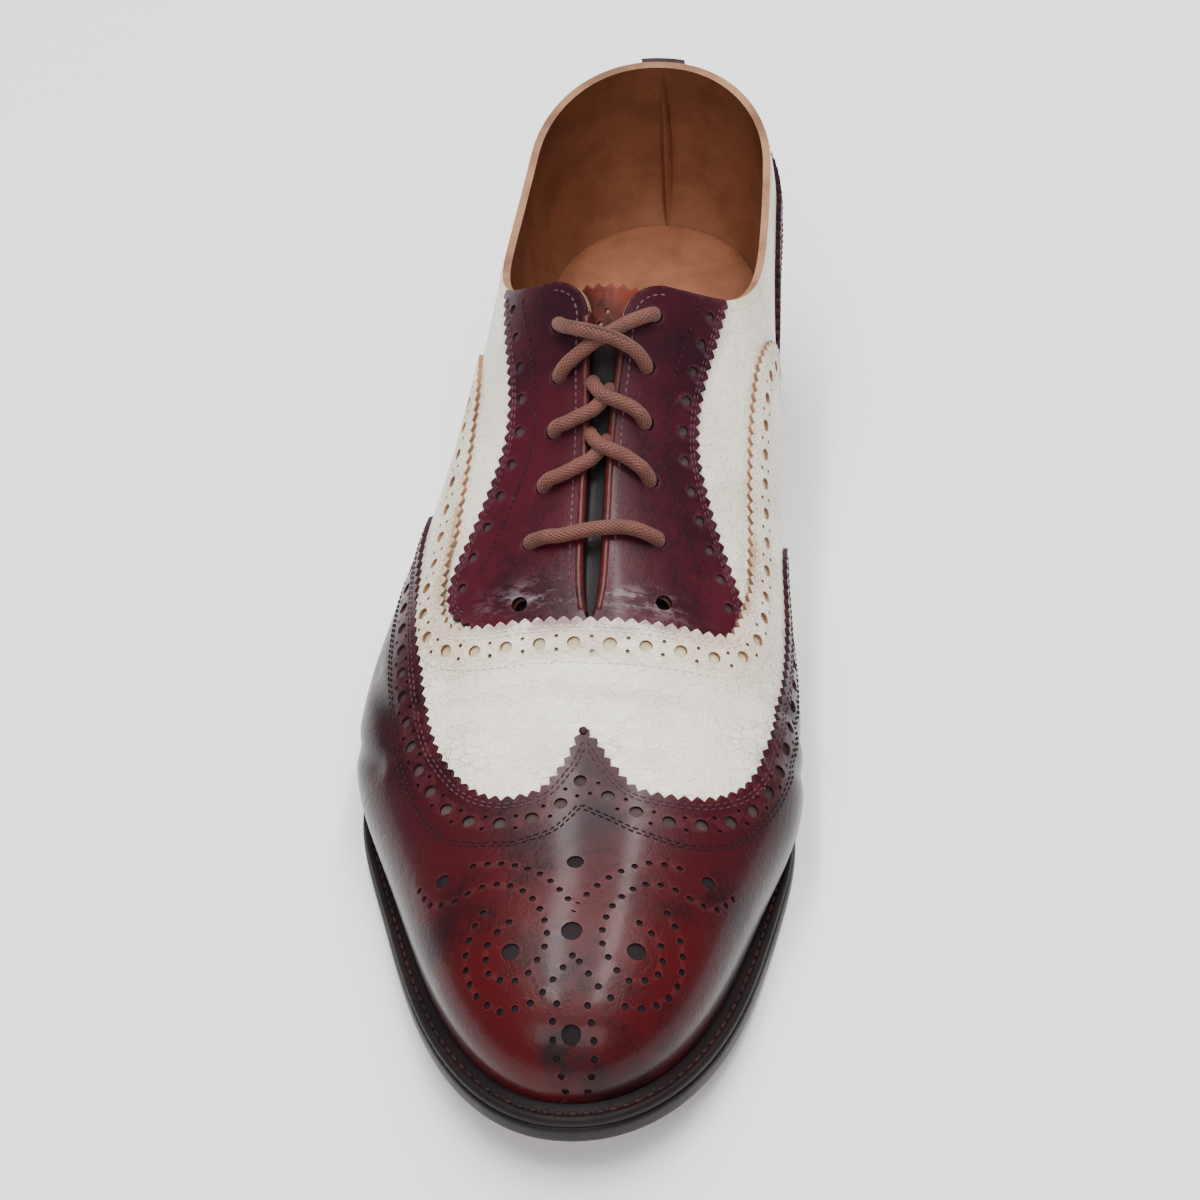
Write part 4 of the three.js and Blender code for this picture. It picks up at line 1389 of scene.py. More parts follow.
TOP_LINE = (
    (0.386, 1.102), (0.372, 1.007), (0.35, 0.896), (0.31, 0.773), (0.26, 0.669), (0.21, 0.613), (0.15, 0.612),
    (0.08, 0.682), (0.0, 0.75), (-0.08, 0.797),
)
COUNTER_EDGE = (
    (0.30, -0.05), (0.262, 0.184), (0.215, 0.319), (0.15, 0.403), (0.08, 0.486), (0.0, 0.554), (-0.08, 0.608),
)
FACING_EDGE = (
    (0.3, 0.563), (0.35, 0.541), (0.39, 0.506), (0.42, 0.473), (0.45, 0.451), (0.48, 0.46), (0.51, 0.519),
    (0.54, 0.596), (0.57, 0.68), (0.59, 0.713), (0.607, 0.708), (0.622, 0.66), (0.636, 0.52), (0.644, 0.28),
    (0.646, 0.0),
)
SLIT_EDGE = (
    (0.32, 1.46), (0.386, 1.44), (0.42, 1.38), (0.442, 1.30), (0.464, 1.14), (0.50, 1.0), (0.587, 1.0),
    (0.615, 0.82), (0.632, 0.46), (0.638, 0.06),
)
EYELETS = (
    (0.617, 0.348), (0.566, 0.307), (0.5215, 0.254), (0.481, 0.216), (0.441, 0.204), (0.4015, 0.220),
)

# Share by which the lateral eyelets sit nearer the toe, and the medial ones nearer the heel
EYELET_SKEW = 0.005


class Pattern:
    """The upper's cutting lines on the last."""

    def __init__(self, last: Last) -> None:
        """Works out the lines.

        Args:
            last: the surface.
        """
        self.last = last
        half = last.sizes.width / 2
        self.wing = self._both(WING_LATERAL, WING_MEDIAL)
        self.lobe = self._both(LOBE_LATERAL, LOBE_MEDIAL)
        self.vamp = self._both(VAMP_LATERAL, VAMP_MEDIAL)
        self.top = {side: self._top_line(side.value) for side in Side}
        self.slit = {side: self._slit(side.value) for side in Side}
        self.eyelets = {
            side: np.array([
                (self.last.walk(s), self.last.across_at_reach(np.array([s]), side.value * half * r)[0])
                for s, r in ((share - side.value * EYELET_SKEW, reach) for share, reach in EYELETS)
            ])
            for side in Side
        }
        for side in Side:
            self._round_corner(side)

    def _both(self, lateral: Sequence, medial: Sequence) -> Path:
        """Line over the whole forefoot, from the lateral to the medial feather line.

        Args:
            lateral: walk and climb from the middle to the lateral side.
            medial: walk and climb from the middle to the medial side.

        Returns:
            The line.
        """
        left = [(w, -(1 - c)) for w, c in reversed(lateral)]
        right = [(w, 1 - c) for w, c in medial]
        middle = (left[-1][1] + right[0][1]) / 2
        left[-1] = right[0] = (lateral[0][0], middle)
        return Path(self.last, np.vstack((smooth_rows(left, 240), smooth_rows(right, 240)[1:])))

    def side_level(self, rows: Sequence, drop: float = 0.0) -> Callable[[Array], Array]:
        """Height of a line drawn in the side view.

        Args:
            rows: share along the shoe and share of the instep's rise.
            drop: distance below the line.

        Returns:
            Function from Y to height.
        """
        line = smooth_rows(rows, 200)
        y = self.last.along(line[:, 0])
        s = self.last.sizes
        z = self.last.underside(line[:, 0]) + s.feather + s.instep * line[:, 1] - drop
        order = np.argsort(y)
        return lambda at: np.interp(at, y[order], z[order])

    def _top_line(self, side: int) -> Array:
        """Top line of one side from the facing's corner to the heel.

        Args:
            side: -1 lateral, 1 medial.

        Returns:
            Walk and across.
        """
        level = self.side_level(TOP_LINE)
        front = float(self.last.walk(0.384))
        walk = np.concatenate((np.linspace(front, 0.70, 50)[:-1], np.linspace(0.70, 1.0, 60)))
        across = self.last.across_at_level(walk, side, level, LayerHeights.wall)
        share = self.last.share(walk)
        reach = np.abs(self.last.points(walk, across)[:, 0] - self.last.centre_x(share))
        keep = (reach > self.slit_half(share)) | (share < 0.36)
        return chart_rows(walk, across)[keep]

    def slit_half(self, share: Array) -> Array:
        """Half width of the gap between the facings."""
        line = smooth_rows(SLIT_EDGE, 200)
        return np.interp(share, line[:, 0], line[:, 1] * 2.5 * MM)

    def _slit(self, side: int) -> Array:
        """Edge of the gap from the throat to the top line.

        Args:
            side: -1 lateral, 1 medial.

        Returns:
            Walk and across.
        """
        share = np.concatenate((np.linspace(0.638, 0.60, 14)[:-1], np.linspace(0.60, 0.36, 60)))
        across = self.last.across_at_reach(share, side * self.slit_half(share))
        return self._under_top(share, across, 0.39)

    def _under_top(self, share: Array, across: Array, front: float) -> Array:
        """Chart places that stay below the top line or lie in front of a share.

        Args:
            share: place along the shoe.
            across: place round the section.
            front: the share.

        Returns:
            Walk and across.
        """
        walk = self.last.walk(share)
        point = self.last.points(walk, across) + self.last.normals(walk, across) * LayerHeights.wall
        keep = (point[:, 2] < self.side_level(TOP_LINE)(point[:, 1])) | (share > front)
        return chart_rows(walk, across)[keep]

    def below_top(self, line: Path, drop: float) -> Path:
        """Part of a line that stays below the top line.

        Args:
            line: the line.
            drop: distance kept below the top line.

        Returns:
            The part.
        """
        point = self.last.offset(*line.chart.T, LayerHeights.wall)
        keep = point[:, 2] < self.side_level(TOP_LINE, drop)(point[:, 1])
        keep |= self.last.share(line.chart[:, 0]) > 0.44
        return Path(self.last, line.chart[keep])

    def _round_corner(self, side: Side, size: float = 8.5 * MM) -> None:
        """Rounds the facing's top corner, between the gap and the top line.

        Args:
            side: side of the shoe.
            size: distance from the corner to each end of the arc.
        """
        slit, top = Path(self.last, self.slit[side]), Path(self.last, self.top[side])
        start, corner, end = slit.at([slit.length - size]), slit.chart[-1], top.at([size])
        t = np.linspace(0, 1, 14)[:, None]
        arc = (1 - t) ** 2 * start + 2 * t * (1 - t) * corner + t * t * end
        self.slit[side] = np.vstack((slit.chart[slit.run < slit.length - size], arc))
        self.top[side] = top.chart[top.run > size + 0.2 * MM]

    def feather(self, start: float, end: float, side: int, pitch: float = 0.006) -> Array:
        """Stretch of the feather line.

        Args:
            start: walk where it starts.
            end: walk where it ends.
            side: -1 lateral, 1 medial.
            pitch: walk between points.

        Returns:
            Walk and across.
        """
        count = max(int(abs(end - start) / pitch), 2)
        walk = np.linspace(start, end, count + 1)
        return chart_rows(walk, float(side))

    def facing_edge(self, side: int) -> Path:
        """Outer edge of a facing from the top line to the throat.

        Args:
            side: -1 lateral, 1 medial.

        Returns:
            The line.
        """
        rows = smooth_rows(FACING_EDGE, 240)
        share, reach = rows[:, 0], rows[:, 1] * self.last.sizes.width / 2
        across = self.last.across_at_reach(share, side * np.maximum(reach, 0.2 * MM))
        return Path(self.last, self._under_top(share, across, 0.40))


@dataclass
class Piece:
    """Sub-assembly of the shoe, with the way to hand a finished piece to the frame."""

    last: Last
    finishes: Finishes

    @staticmethod
    def give(piece: bpy.types.Object, slot: str, *nodes: str) -> bpy.types.Object:
        """Rides a piece on the shoe.

        Args:
            piece: the piece.
            slot: material slot of the record, not used.
            nodes: nodes that it stands for.

        Returns:
            The piece.
        """
        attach(piece, "root")
        if nodes:
            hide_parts(*nodes)
        log.info("%s: %d faces", piece.name, len(piece.data.polygons))
        return piece


@dataclass
class Upper(Piece):
    """Wall, vamp, wing, facings, counter, strap and tongue, with their holes and stitches.

    A row of stitches has its letter and its distance inside the edge in millimetres. One on a facing also has
    the share where it ends.
    """

    repeater: Repeater
    heights: LayerHeights = LayerHeights()
    pinking: Pinking = Pinking()
    stitching: Stitching = Stitching()
    vamp_row: float = 5.3 * MM
    facing_row: float = 3.2 * MM
    vamp_stitches: tuple = (("a", 1.2), ("b", 2.3), ("c", 9.6))
    counter_stitches: tuple = (("a", 2.3), ("b", 3.5), ("c", 11.0))
    facing_stitches: tuple = (("a", 0.5, 0.622), ("b", 1.3, 0.622), ("d", 7.4, 0.59))
    wing_stitches: tuple = (("a", 0.9), ("b", 1.9))
    lobe_stitches: tuple = (("c", -0.4), ("d", 0.5))
    wall_eyelet: float = 2.5 * MM
    facing_eyelet: float = 1.9 * MM
    hem: float = 2.4 * MM
    cloth: float = 0.25 * MM
    fold_radius: float = 1.2 * MM
    counter_front: float = 0.2965
    counter_row: float = 6.5 * MM
    strap_front: float = 0.962
    strap_half: float = 6.0 * MM
    tongue_root: float = 0.664
    tongue_top: float = 0.374
    tongue_spread: float = 0.32
    tongue_bow: float = 0.012

    def __post_init__(self) -> None:
        """Works out the cutting lines and the finishes of a burgundy piece."""
        self.pattern = Pattern(self.last)
        self.burgundy = (self.finishes.burgundy, self.finishes.dark_edge, self.finishes.lining)

    def build(self) -> None:
        """Builds every piece of the upper."""
        self.wall()
        self.vamp()
        self.wing()
        for side in Side:
            self.facing(side)
        self.counter()
        self.back_strap()
        self.tongue()

    def eyelet_loops(self, side: Side, radius: float) -> list[Array]:
        """Eyelet holes of one side."""
        return circles(self.last, self.pattern.eyelets[side], radius, 16)

    def wall(self) -> None:
        """The hollow wall: white outside, tan inside."""
        p = self.pattern
        outline = np.vstack((
            p.feather(1.0, 0.0, -1), self._toe_seam(), p.feather(0.0, 1.0, 1)[1:],
            p.top[Side.MEDIAL][::-1], p.slit[Side.MEDIAL][::-1], p.slit[Side.LATERAL], p.top[Side.LATERAL],
        ))
        holes = [loop for side in Side for loop in self.eyelet_loops(side, self.wall_eyelet)]
        panel = Panel(self.last, outline, holes, 3.0 * MM)
        f = self.finishes
        piece = panel.mesh("quarters", 0.0, self.heights.wall, (f.white, f.raw_edge, f.lining))
        self.shade_white(piece)
        self.give(piece, "white_leather", "upper")
        for side in Side:
            line = Path(self.last, p.top[side]).beside(-side.value * self.hem)
            self.stitch(f"top_stitches_{side.name.lower()}", line, self.heights.wall, f.pale_thread, "white_leather")

    def _toe_seam(self) -> Array:
        """Chart edge at the toe tip."""
        return chart_rows(0.0, np.linspace(-1, 1, 21)[1:-1])

    def flat(self, walk: Array, across: Array) -> Array:
        """Chart places in the chart's own even units."""
        return chart_rows(walk, across) * self.last.METRIC

    def shade_white(self, piece: bpy.types.Object) -> None:
        """Marks where the white leather is dirty.

        Args:
            piece: a white piece.
        """
        walk, across = self.chart_of(piece)
        place = self.flat(walk, across)
        wing = nearest(place, self.pattern.wing.resampled(3 * MM) * self.last.METRIC)
        sides = smoothstep(np.abs(across), 0.3, 0.7)
        dark = np.exp(-((wing / (9 * MM)) ** 2)) * 0.8 + 0.25 * sides
        put_attributes(piece, dark=np.clip(dark, 0, 1))

    def vamp_height(self, walk: Array, across: Array) -> Array:
        """Outer height of the vamp, raised where it covers the facings.

        Args:
            walk: place along the shoe.
            across: place round the section.

        Returns:
            Height off the last.
        """
        edges = [self.pattern.facing_edge(side.value) for side in Side]
        bottom = np.vstack([edge.chart[self.last.share(edge.chart[:, 0]) > 0.575] for edge in edges])
        place = self.flat(walk, across)
        gap = nearest(place, bottom * self.last.METRIC)
        edge = nearest(place, self.pattern.vamp.resampled(2 * MM) * self.last.METRIC)
        lift = self.heights.vamp_lift * smoothstep(-gap, -15 * MM, -4 * MM) * smoothstep(-edge, -14 * MM, -5 * MM)
        return self.heights.vamp + np.maximum(lift, 0.35 * MM * smoothstep(-edge, -9 * MM, -3 * MM))

    def under_vamp(self, drop: float) -> Callable[[Array, Array], Array]:
        """Height below the vamp's outer face, from walk and across."""
        return lambda walk, across: self.vamp_height(walk, across) - drop

    def vamp(self) -> None:
        """White vamp with a pinked, punched upper edge."""
        p, k, f = self.pattern, self.pinking, self.finishes
        edge = p.vamp.pinked(k.pitch, k.depth)
        inner = p.wing.beside(-8 * MM).resampled(4 * MM)
        start, end = p.vamp.chart[0, 0], p.vamp.chart[-1, 0]
        foot = (p.feather(inner[0, 0], start, -1)[:-1], p.feather(end, inner[-1, 0], 1)[1:])
        outline = np.vstack((edge, foot[1], inner[::-1], foot[0]))
        row = p.vamp.beside(-self.vamp_row)
        middle = float(row.run[int(np.argmin(np.abs(row.chart[:, 1] + 0.026)))])
        holes = self.row_holes(row, (0.03, 0.97), k.vamp_pitch, k.hole, True, middle)
        panel = Panel(self.last, outline, holes, 1.6 * MM)
        lining = Panel(self.last, np.vstack((p.vamp.resampled(3 * MM), foot[1], inner[::-1], foot[0])), (), 4 * MM)
        cloth = lining.mesh("vamp_lining", self.under_vamp(1.15 * MM), self.under_vamp(0.95 * MM), (f.hole_cloth,))
        self.give(cloth, "white_leather")
        piece = panel.mesh("vamp", self.under_vamp(1.0 * MM), self.vamp_height, (f.white, f.raw_edge, f.lining))
        self.shade_white(piece)
        self.shade_vamp(piece)
        self.give(piece, "white_leather")
        for letter, gap in self.vamp_stitches:
            line = p.vamp.beside(-gap * MM)
            self.stitch(f"vamp_stitches_{letter}", line, self.vamp_height, f.pale_thread, "white_leather")

    def shade_vamp(self, piece: bpy.types.Object) -> None:
        """Marks where the facings' dye and old polish have stained the vamp's edge.

        Args:
            piece: the vamp.
        """
        walk, across = self.chart_of(piece)
        place = self.flat(walk, across)
        edge = nearest(place, self.pattern.vamp.resampled(1.5 * MM) * self.last.METRIC)
        rail = smoothstep(np.abs(across), 0.36, 0.46)
        middle = 1 - smoothstep(np.abs(across - 0.03), 0.12, 0.36)
        put_attributes(piece, dye=np.exp(-((edge / (2.2 * MM)) ** 2)) * (0.3 + 0.7 * middle) * (1 - rail))
        put_attributes(piece, rust=np.exp(-((edge / (1.8 * MM)) ** 2)) * rail * smoothstep(-walk, -0.56, -0.5))

    @staticmethod
    def chart_of(piece: bpy.types.Object) -> tuple[Array, Array]:
        """Chart place of every vertex of a panel.

        Args:
            piece: the panel.

        Returns:
            Walk and across.
        """
        found = []
        for name in ("walk", "across"):
            values = np.empty(len(piece.data.vertices), np.float32)
            piece.data.attributes[name].data.foreach_get("value", values)
            found.append(values.astype(float))
        return found[0], found[1]

    def row_holes(
        self, path: Path, span: tuple[float, float], pitch: float, radius: float, pairs: bool = True,
        middle: float | None = None,
    ) -> list[Array]:
        """Punched row of large holes with pairs of small ones between.

        Args:
            path: middle of the row.
            span: shares of the path where the row starts and ends.
            pitch: distance between large holes.
            radius: radius of a large hole.
            pairs: whether the small holes are there.
            middle: distance along the path that has a hole.

        Returns:
            Loops in the chart.
        """
        k = self.pinking
        low, high = path.length * span[0], path.length * span[1]
        if middle is None:
            distance = np.linspace(low, high, int(round((high - low) / pitch)) + 1)
        else:
            distance = middle + np.arange(-int((middle - low) / pitch), int((high - middle) / pitch) + 1) * pitch
        loops = circles(self.last, path.at(distance), radius, 16)
        if pairs:
            middle = (distance[1:] + distance[:-1]) / 2
            side = path.frames(middle)[2]
            for sign in (-1, 1):
                places = self.last.moved(path.at(middle), sign * k.pair * side)
                loops += circles(self.last, places, k.small, 7)
        return loops

    def stitch(self, name: str, path: Path, height: Any, finish: bpy.types.Material, slot: str) -> None:
        """Row of stitches on a piece.

        Args:
            name: name of the row.
            path: its line.
            height: height of the surface it lies on.
            finish: material of the thread.
            slot: material slot of the record.
        """
        s = self.stitching
        count = max(int(path.length / s.pitch), 2)
        distance = (np.arange(count) + 0.5) * path.length / count
        chart = path.at(distance)
        along, out, _ = path.frames(distance)
        level = height(*chart.T) if callable(height) else height
        places = self.last.offset(*chart.T, level + 0.05 * MM)
        piece = self.repeater.beads(name, places, along, out, (s.length, s.width, s.rise), finish)
        self.give(piece, slot)

    def wing(self) -> None:
        """Wing cap with a pinked edge, a punched band and the toe's medallion."""
        p, k, f = self.pattern, self.pinking, self.finishes
        edge = p.wing.pinked(k.pitch, k.depth)
        start, end = p.wing.chart[0, 0], p.wing.chart[-1, 0]
        outline = np.vstack((edge, p.feather(end, 0.0, 1)[1:], self._toe_seam()[::-1], p.feather(0.0, start, -1)))
        middle, centre = self.band_middle()
        holes = self.row_holes(middle, (0.02, 0.98), k.wing_pitch, k.hole, True, centre)
        holes += Medallion(self.last).loops()
        panel = Panel(self.last, outline, holes, 2.2 * MM)
        piece = panel.mesh("wing", self.heights.overlay_in, self.heights.wing, (f.wing, f.dark_edge, f.lining))
        self.shade_wing(piece)
        self.give(piece, "toe_leather", "wing_cap")
        point = p.wing.at(np.array([p.wing.run[len(p.wing.chart) // 2] + 0.1 * MM]))
        along, out, _ = p.wing.frames(np.array([p.wing.run[len(p.wing.chart) // 2]]))
        knob = self.last.offset(*point.T, self.heights.wing + 0.1 * MM)
        size = (2.2 * MM, 2.2 * MM, 1.1 * MM)
        self.give(self.repeater.beads("wing_point", knob, along, out, size, f.dark_edge), "toe_leather")
        for path, rows, thread in (
            (p.wing, self.wing_stitches, f.purple_thread), (p.lobe, self.lobe_stitches, f.dark_thread),
        ):
            for letter, gap in rows:
                line = path.beside(-gap * MM)
                self.stitch(f"wing_stitches_{letter}", line, self.heights.wing, thread, "toe_leather")
        # Layers seen through the wing's holes: a grey layer under the band, darkened with painted shade, and a
        # near-black sheet of painted shade under the medallion.
        for name, line, gap, rise, cloth in (
            ("band_backing_and_shade", p.wing, -3.0, 0.75, f.band_backing_and_shade), ("toe_backing", p.lobe, 1.0, 1.02, f.backing_and_shade),
        ):
            under = line.beside(gap * MM).resampled(3 * MM)
            under = np.vstack((line.chart[0], under, line.chart[-1]))
            a, b = under[-1, 0], under[0, 0]
            loop = np.vstack((under, p.feather(a, 0.0, 1)[1:], self._toe_seam()[::-1], p.feather(0.0, b, -1)[:-1]))
            backing_and_shade = Panel(self.last, loop, (), 4 * MM)
            low = self.heights.wall + rise * MM
            self.give(backing_and_shade.mesh(name, low, low + self.cloth, (cloth,)), "toe_leather")

    def band_middle(self) -> tuple[Path, float]:
        """Line that runs midway between the wing's edge and its lobed stitching.

        Returns:
            The line, and the distance along it to the wing's point.
        """
        p = self.pattern
        halves = []
        for line in (p.wing, p.lobe):
            tip = line.run[int(np.argmin(np.abs(line.chart[:, 1] - line.chart[len(line.chart) // 2, 1])))]
            halves.append((line, tip))
        t = np.linspace(0, 1, 160)
        left = [line.at(t * tip) for line, tip in halves]
        right = [line.at(tip + t * (line.length - tip)) for line, tip in halves]
        weight = 0.5 + 0.16 * np.exp(-((1 - t) * 9) ** 2)[:, None]
        left = left[0] * (1 - weight) + left[1] * weight
        weight = weight[::-1]
        right = right[0] * (1 - weight) + right[1] * weight
        path = Path(self.last, np.vstack((left, right[1:])))
        return path, float(path.run[len(left) - 1])

    def shade_wing(self, piece: bpy.types.Object) -> None:
        """Marks where the wing is redder and darker.

        Args:
            piece: the wing.
        """
        walk, across = self.chart_of(piece)
        tone = smoothstep(-walk, -0.30, -0.16) * (1 - 0.55 * smoothstep(np.abs(across), 0.35, 0.85))
        dark = 0.85 * smoothstep(np.abs(across), 0.42, 0.85) * smoothstep(walk, 0.06, 0.24)
        spot = np.exp(-(((walk - 0.055) / 0.026) ** 2) - ((across - 0.03) / 0.15) ** 2)
        cracks = np.exp(-(((walk - 0.29) / 0.05) ** 2) - ((across + 0.80) / 0.12) ** 2)
        put_attributes(piece, tone=tone, dark=dark, stain=np.clip(spot * 2.0, 0, 1), cracks=cracks)

    def facing(self, side: Side) -> None:
        """Facing with a pinked, punched outer edge and six eyelets.

        Args:
            side: side of the shoe.
        """
        p, k, f = self.pattern, self.pinking, self.finishes
        edge = p.facing_edge(side.value)
        toothed = edge.pinked(k.pitch, side.value * k.depth)
        slit, top = p.slit[side], p.top[side]
        outline = np.vstack((toothed, slit, top[top[:, 0] < edge.chart[0, 0]]))
        row = self.behind(p.below_top(edge.beside(-side.value * self.facing_row), 2.6 * MM), 0.60)
        holes = self.row_holes(row, (0.03, 0.98), k.facing_pitch, k.facing_hole, False)
        panel = Panel(self.last, outline, holes + self.eyelet_loops(side, self.facing_eyelet), 2.0 * MM)
        name = f"facing_{side.name.lower()}"
        piece = panel.mesh(name + "_leather", self.heights.overlay_in, self.heights.facing, self.burgundy)
        self.shade_facing(piece)
        self.give(piece, "burgundy_leather", name)
        self.row_backing(row, 1.9 * MM, name, self.heights.overlay_in + self.cloth)
        rows, threads = [], (f.purple_thread, f.purple_thread, f.dark_thread)
        for (letter, gap, end), thread in zip(self.facing_stitches, threads):
            rows.append((letter, p.below_top(edge.beside(-side.value * gap * MM), 2.0 * MM), end, thread))
        rows.append(("c", Path(self.last, slit).beside(side.value * -2.2 * MM), 0.63, f.lilac_thread))
        for letter, line, end, thread in rows:
            line = self.behind(line, end)
            self.stitch(f"{name}_stitches_{letter}", line, self.heights.facing, thread, "burgundy_leather")
        self.folded_edge(side, name, slit)

    def behind(self, path: Path, share: float) -> Path:
        """Part of a line that lies on the heel's side of a share."""
        return Path(self.last, path.chart[self.last.share(path.chart[:, 0]) < share])

    def row_backing(self, row: Path, reach: float, name: str, low: float) -> None:
        """Grey layer at the bottom of a punched row, darkened with painted shade.

        Args:
            row: middle of the row.
            reach: half width of the layer.
            name: name of the punched piece.
            low: height of the layer's underside.
        """
        sides = [row.beside(sign * reach).resampled(2.5 * MM) for sign in (1, -1)]
        panel = Panel(self.last, np.vstack((sides[0], sides[1][::-1])), (), 3 * MM)
        piece = panel.mesh(f"{name}_backing", low, low + self.cloth, (self.finishes.band_backing_and_shade,))
        self.give(piece, "burgundy_leather")

    def folded_edge(self, side: Side, name: str, slit: Array) -> None:
        """Rounded fold of a facing along the gap.

        Args:
            side: side of the shoe.
            name: name of the facing.
            slit: its edge along the gap.
        """
        line = Path(self.last, slit).beside(-side.value * 0.45 * MM, 1.2 * MM)
        share = self.last.share(line.chart[:, 0])
        chart = line.chart[(share < 0.634) & (share > 0.402)]
        height = np.full(len(chart), self.heights.facing - 1.0 * MM)
        height[0] -= 0.8 * MM
        height[-1] -= 1.1 * MM
        points = self.last.offset(*chart.T, height)
        verts, faces, _, _ = tube(smooth_rows(points, 120), self.fold_radius, 14, 0)
        piece = make_mesh(f"{name}_fold", np.array(verts), faces)
        piece.data.materials.append(self.finishes.fold)
        put_attributes(piece, tone=np.full(len(verts), 0.5))
        self.give(piece, "burgundy_leather")

    def shade_facing(self, piece: bpy.types.Object) -> None:
        """Marks where a facing is redder, darker and scuffed.

        Args:
            piece: the facing.
        """
        walk, across = self.chart_of(piece)
        share = self.last.share(walk)
        low = np.exp(-(((share - 0.617) / 0.010) ** 2))
        put_attributes(piece, tone=0.30 + 0.35 * smoothstep(share, 0.42, 0.56))
        put_attributes(piece, dark=0.25 * (1 - smoothstep(share, 0.38, 0.46)) + 0.2 * low)
        put_attributes(piece, scuffs=low * np.exp(-(((np.abs(across) - 0.13) / 0.12) ** 2)))

    def plain_tone(self, piece: bpy.types.Object) -> None:
        """Even tone for a dyed piece."""
        count = len(piece.data.vertices)
        put_attributes(piece, tone=np.full(count, 0.35), dark=np.full(count, 0.1))

    def counter(self) -> None:
        """Counter round the heel with a pinked, punched edge."""
        k = self.pinking
        level = self.pattern.side_level(COUNTER_EDGE)
        front = float(self.last.walk(self.counter_front))
        walk = np.concatenate((np.linspace(front, 0.80, 60)[:-1], np.linspace(0.80, 1.0, 40)))
        paths = []
        for side in Side:
            across = self.last.across_at_level(walk, side.value, level, self.heights.wall)
            paths.append(Path(self.last, chart_rows(walk, across)))
        end = abs(paths[0].chart[-1, 1])
        for side, path in zip(Side, paths):
            line = path.pinked(k.pitch, side.value * k.depth)
            line[:, 0] = np.minimum(line[:, 0], 1.0)
            line[-1] = (1.0, side.value * end)
            row = self.off_seam(path.beside(-side.value * self.counter_row), 0.985)
            holes = self.row_holes(row, (0.06, 0.96), k.vamp_pitch, k.hole)
            seam = chart_rows(1.0, side.value * np.linspace(end, 1.0, 14)[1:])
            foot = self.pattern.feather(1.0, line[0, 0], side.value)[1:]
            panel = Panel(self.last, np.vstack((line, seam, foot)), holes, 2.6 * MM)
            name = f"counter_{side.name.lower()}"
            piece = panel.mesh(name, self.heights.overlay_in, self.heights.counter, self.burgundy)
            self.plain_tone(piece)
            self.give(piece, "burgundy_leather", "counter")
            self.row_backing(row, 2.3 * MM, name, self.heights.overlay_in + self.cloth)
            for letter, gap in self.counter_stitches:
                beside = self.off_seam(path.beside(-side.value * gap * MM), 0.992)
                thread = self.finishes.purple_thread
                self.stitch(f"{name}_stitches_{letter}", beside, self.heights.counter, thread, "burgundy_leather")

    def off_seam(self, path: Path, end: float) -> Path:
        """Part of a line that stays off the heel's seam and the feather line."""
        walk, across = path.chart.T
        return Path(self.last, path.chart[(walk < end) & (np.abs(across) < 0.97)])

    def back_strap(self) -> None:
        """Strip over the seam at the heel's back."""
        levels = [self.pattern.side_level(rows) for rows in (TOP_LINE, COUNTER_EDGE)]
        for side in Side:
            sign = side.value
            walk = np.linspace(self.strap_front, 1.0, 12)
            upper, lower = (
                np.abs(self.last.across_at_level(walk, sign, level, self.heights.wall)) for level in levels
            )
            x = np.abs(self.last.points(walk, sign * upper)[:, 0] - self.last.sizes.shift_x)
            first = int(np.argmax(x < self.strap_half))
            walk, upper, lower = walk[first:], upper[first:], lower[first:]
            outline = np.vstack((
                chart_rows(walk, sign * upper),
                chart_rows(1.0, sign * np.linspace(upper[-1], lower[-1], 12)[1:-1]),
                chart_rows(walk[::-1], sign * lower[::-1]),
                chart_rows(walk[0], sign * np.linspace(lower[0], upper[0], 8)[1:-1]),
            ))
            panel = Panel(self.last, outline, (), 1.6 * MM)
            name = f"back_strap_{side.name.lower()}"
            piece = panel.mesh(name, self.heights.overlay_in, self.heights.facing, self.burgundy)
            self.plain_tone(piece)
            self.give(piece, "burgundy_leather", "back_strap")

    def tongue(self) -> None:
        """Tongue under the facings with a scalloped top, a small punched motif and painted shadow down in the gap."""
        f = self.finishes
        root = float(self.last.walk(self.tongue_root))
        top = float(self.last.walk(self.tongue_top))
        spread = self.tongue_spread
        across = np.linspace(-spread, spread, 60)
        bow = top - self.tongue_bow * (np.abs(across) / spread) ** 3
        head = Path(self.last, chart_rows(bow, across)).pinked(3.2 * MM, -1.3 * MM)
        foot = chart_rows(root, np.linspace(spread, -spread, 12))
        right = chart_rows(np.linspace(top - self.tongue_bow, root, 60)[1:-1], spread)
        outline = np.vstack((head, right, foot, right[::-1] * (1, -1)))
        motif = np.array(((0.020, 0.0), (0.029, 0.03), (0.029, -0.03), (0.038, 0.0)))
        holes = circles(self.last, (top, 1e-4) + motif * (-1, 1), 0.7 * MM, 8)
        panel = Panel(self.last, outline, holes, 2.4 * MM)
        inner, outer = self.heights.tongue_in, self.heights.tongue_out
        piece = panel.mesh("tongue_leather", inner, outer, (f.tongue, f.tongue, f.lining))
        share = self.last.share(self.chart_of(piece)[0])
        # Painted shadow: from its exposed top down into the gap between the facings the tongue darkens to a
        # near-black colour.
        put_attributes(piece, tone=1 - smoothstep(share, 0.385, 0.42))
        put_attributes(piece, dark=smoothstep(share, 0.395, 0.44))
        self.give(piece, "tongue_leather", "tongue")

